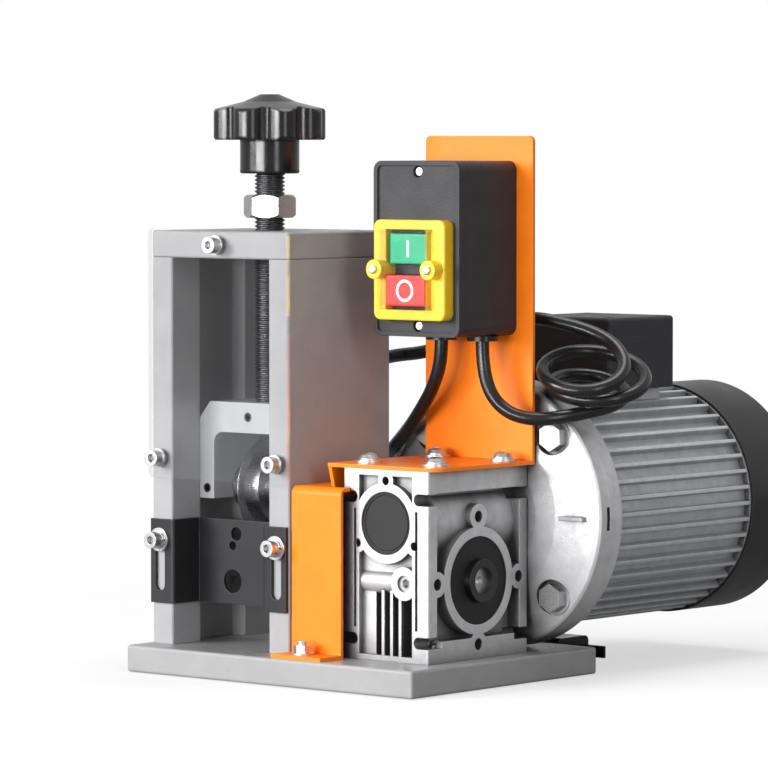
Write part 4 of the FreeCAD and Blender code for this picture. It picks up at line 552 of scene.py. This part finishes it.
mark("start_mark", "start_button", "green_button", bar)
mark("stop_mark", "stop_button", "red_button", circle(ring_out), circle(ring_in))


# The floor, the backdrop and the lamps

floor_reach, floor_z = 12.0, -0.4 * mm
floor_white = (0.9, 0.9, 0.9)
floor_bounce = (0.32, 0.32, 0.32)
floor_near, floor_far = 0.25, 0.7
floor_glow = 0.6


def stage_floor():
    """A white floor that takes the shadow near the machine and fades to pure white further off."""
    mesh = bpy.data.meshes.new("floor")
    sides = [(-1, -1), (1, -1), (1, 1), (-1, 1)]
    corners = [(x * floor_reach, y * floor_reach, floor_z) for x, y in sides]
    mesh.from_pydata(corners, [], [(0, 1, 2, 3)])
    floor = bpy.data.objects.new("floor", mesh)
    bpy.context.collection.objects.link(floor)
    material = new_material("floor_white", floor_white, 0.7, Specular_IOR_Level=0.0)
    bounce = add(material, "ShaderNodeMix", data_type="RGBA")
    bounce.inputs["A"].default_value = (*floor_bounce, 1.0)
    bounce.inputs["B"].default_value = (*floor_white, 1.0)
    floor.data.materials.append(material)
    seen = add(material, "ShaderNodeLightPath")
    link(material, seen.outputs["Is Camera Ray"], bounce.inputs["Factor"])
    link(material, bounce.outputs["Result"], shader_of(material).inputs["Base Color"])
    glow = add(material, "ShaderNodeEmission", Color=(1, 1, 1, 1), Strength=1.0)
    mix = add(material, "ShaderNodeMixShader")
    place = add(material, "ShaderNodeTexCoord")
    away = add(material, "ShaderNodeVectorMath", operation="LENGTH")
    link(material, place.outputs["Object"], away.inputs[0])
    fade = spread(material, away.outputs["Value"], floor_glow, 1.0, floor_near, floor_far)
    share = add(material, "ShaderNodeMath", operation="MULTIPLY")
    link(material, fade, share.inputs[1])
    link(material, seen.outputs["Is Camera Ray"], share.inputs[0])
    link(material, share.outputs["Value"], mix.inputs["Fac"])
    link(material, shader_of(material).outputs["BSDF"], mix.inputs[1])
    link(material, glow.outputs["Emission"], mix.inputs[2])
    output = material.node_tree.nodes["Material Output"]
    link(material, mix.outputs["Shader"], output.inputs["Surface"])


world_diffuse, world_mirrored = 0.26, 0.7


def stage_world():
    """White to the camera, dimmer in reflections, and dimmer still as light on the surfaces."""
    world = bpy.data.worlds.new("studio")
    bpy.context.scene.world = world
    world.use_nodes = True
    tree = world.node_tree
    back = tree.nodes["Background"]
    back.inputs["Color"].default_value = (1, 1, 1, 1)
    seen = tree.nodes.new("ShaderNodeLightPath")
    mirrored = tree.nodes.new("ShaderNodeMapRange")
    mirrored.inputs["To Min"].default_value = world_diffuse
    mirrored.inputs["To Max"].default_value = world_mirrored
    tree.links.new(seen.outputs["Is Glossy Ray"], mirrored.inputs["Value"])
    level = tree.nodes.new("ShaderNodeMath")
    level.operation = "MAXIMUM"
    tree.links.new(seen.outputs["Is Camera Ray"], level.inputs[0])
    tree.links.new(mirrored.outputs["Result"], level.inputs[1])
    tree.links.new(level.outputs["Value"], back.inputs["Strength"])


def lamp(name, place, aim, size, power):
    """A rectangular lamp that faces its aim."""
    data = bpy.data.lights.new(name, "AREA")
    data.shape = "RECTANGLE"
    data.size, data.size_y = size
    data.energy = power
    light = bpy.data.objects.new(name, data)
    bpy.context.collection.objects.link(light)
    light.location = place
    light.rotation_euler = (Vector(aim) - Vector(place)).to_track_quat("-Z", "Y").to_euler()


stage_floor()
stage_world()
lamp("key_front_left", (-1.2, -2.2, 0.8), (0, 0, 0.14), (1.0, 1.0), 66)
lamp("front_low", (0.1, -2.5, 0.3), (0.05, 0, 0.16), (1.4, 0.4), 46)
lamp("fill_right", (2.2, -0.9, 0.6), (0, 0, 0.12), (0.5, 1.4), 13)
lamp("top", (0.1, 0.3, 2.2), (0, 0, 0.1), (1.2, 1.2), 26)

bpy.context.scene.view_settings.view_transform = "Standard"
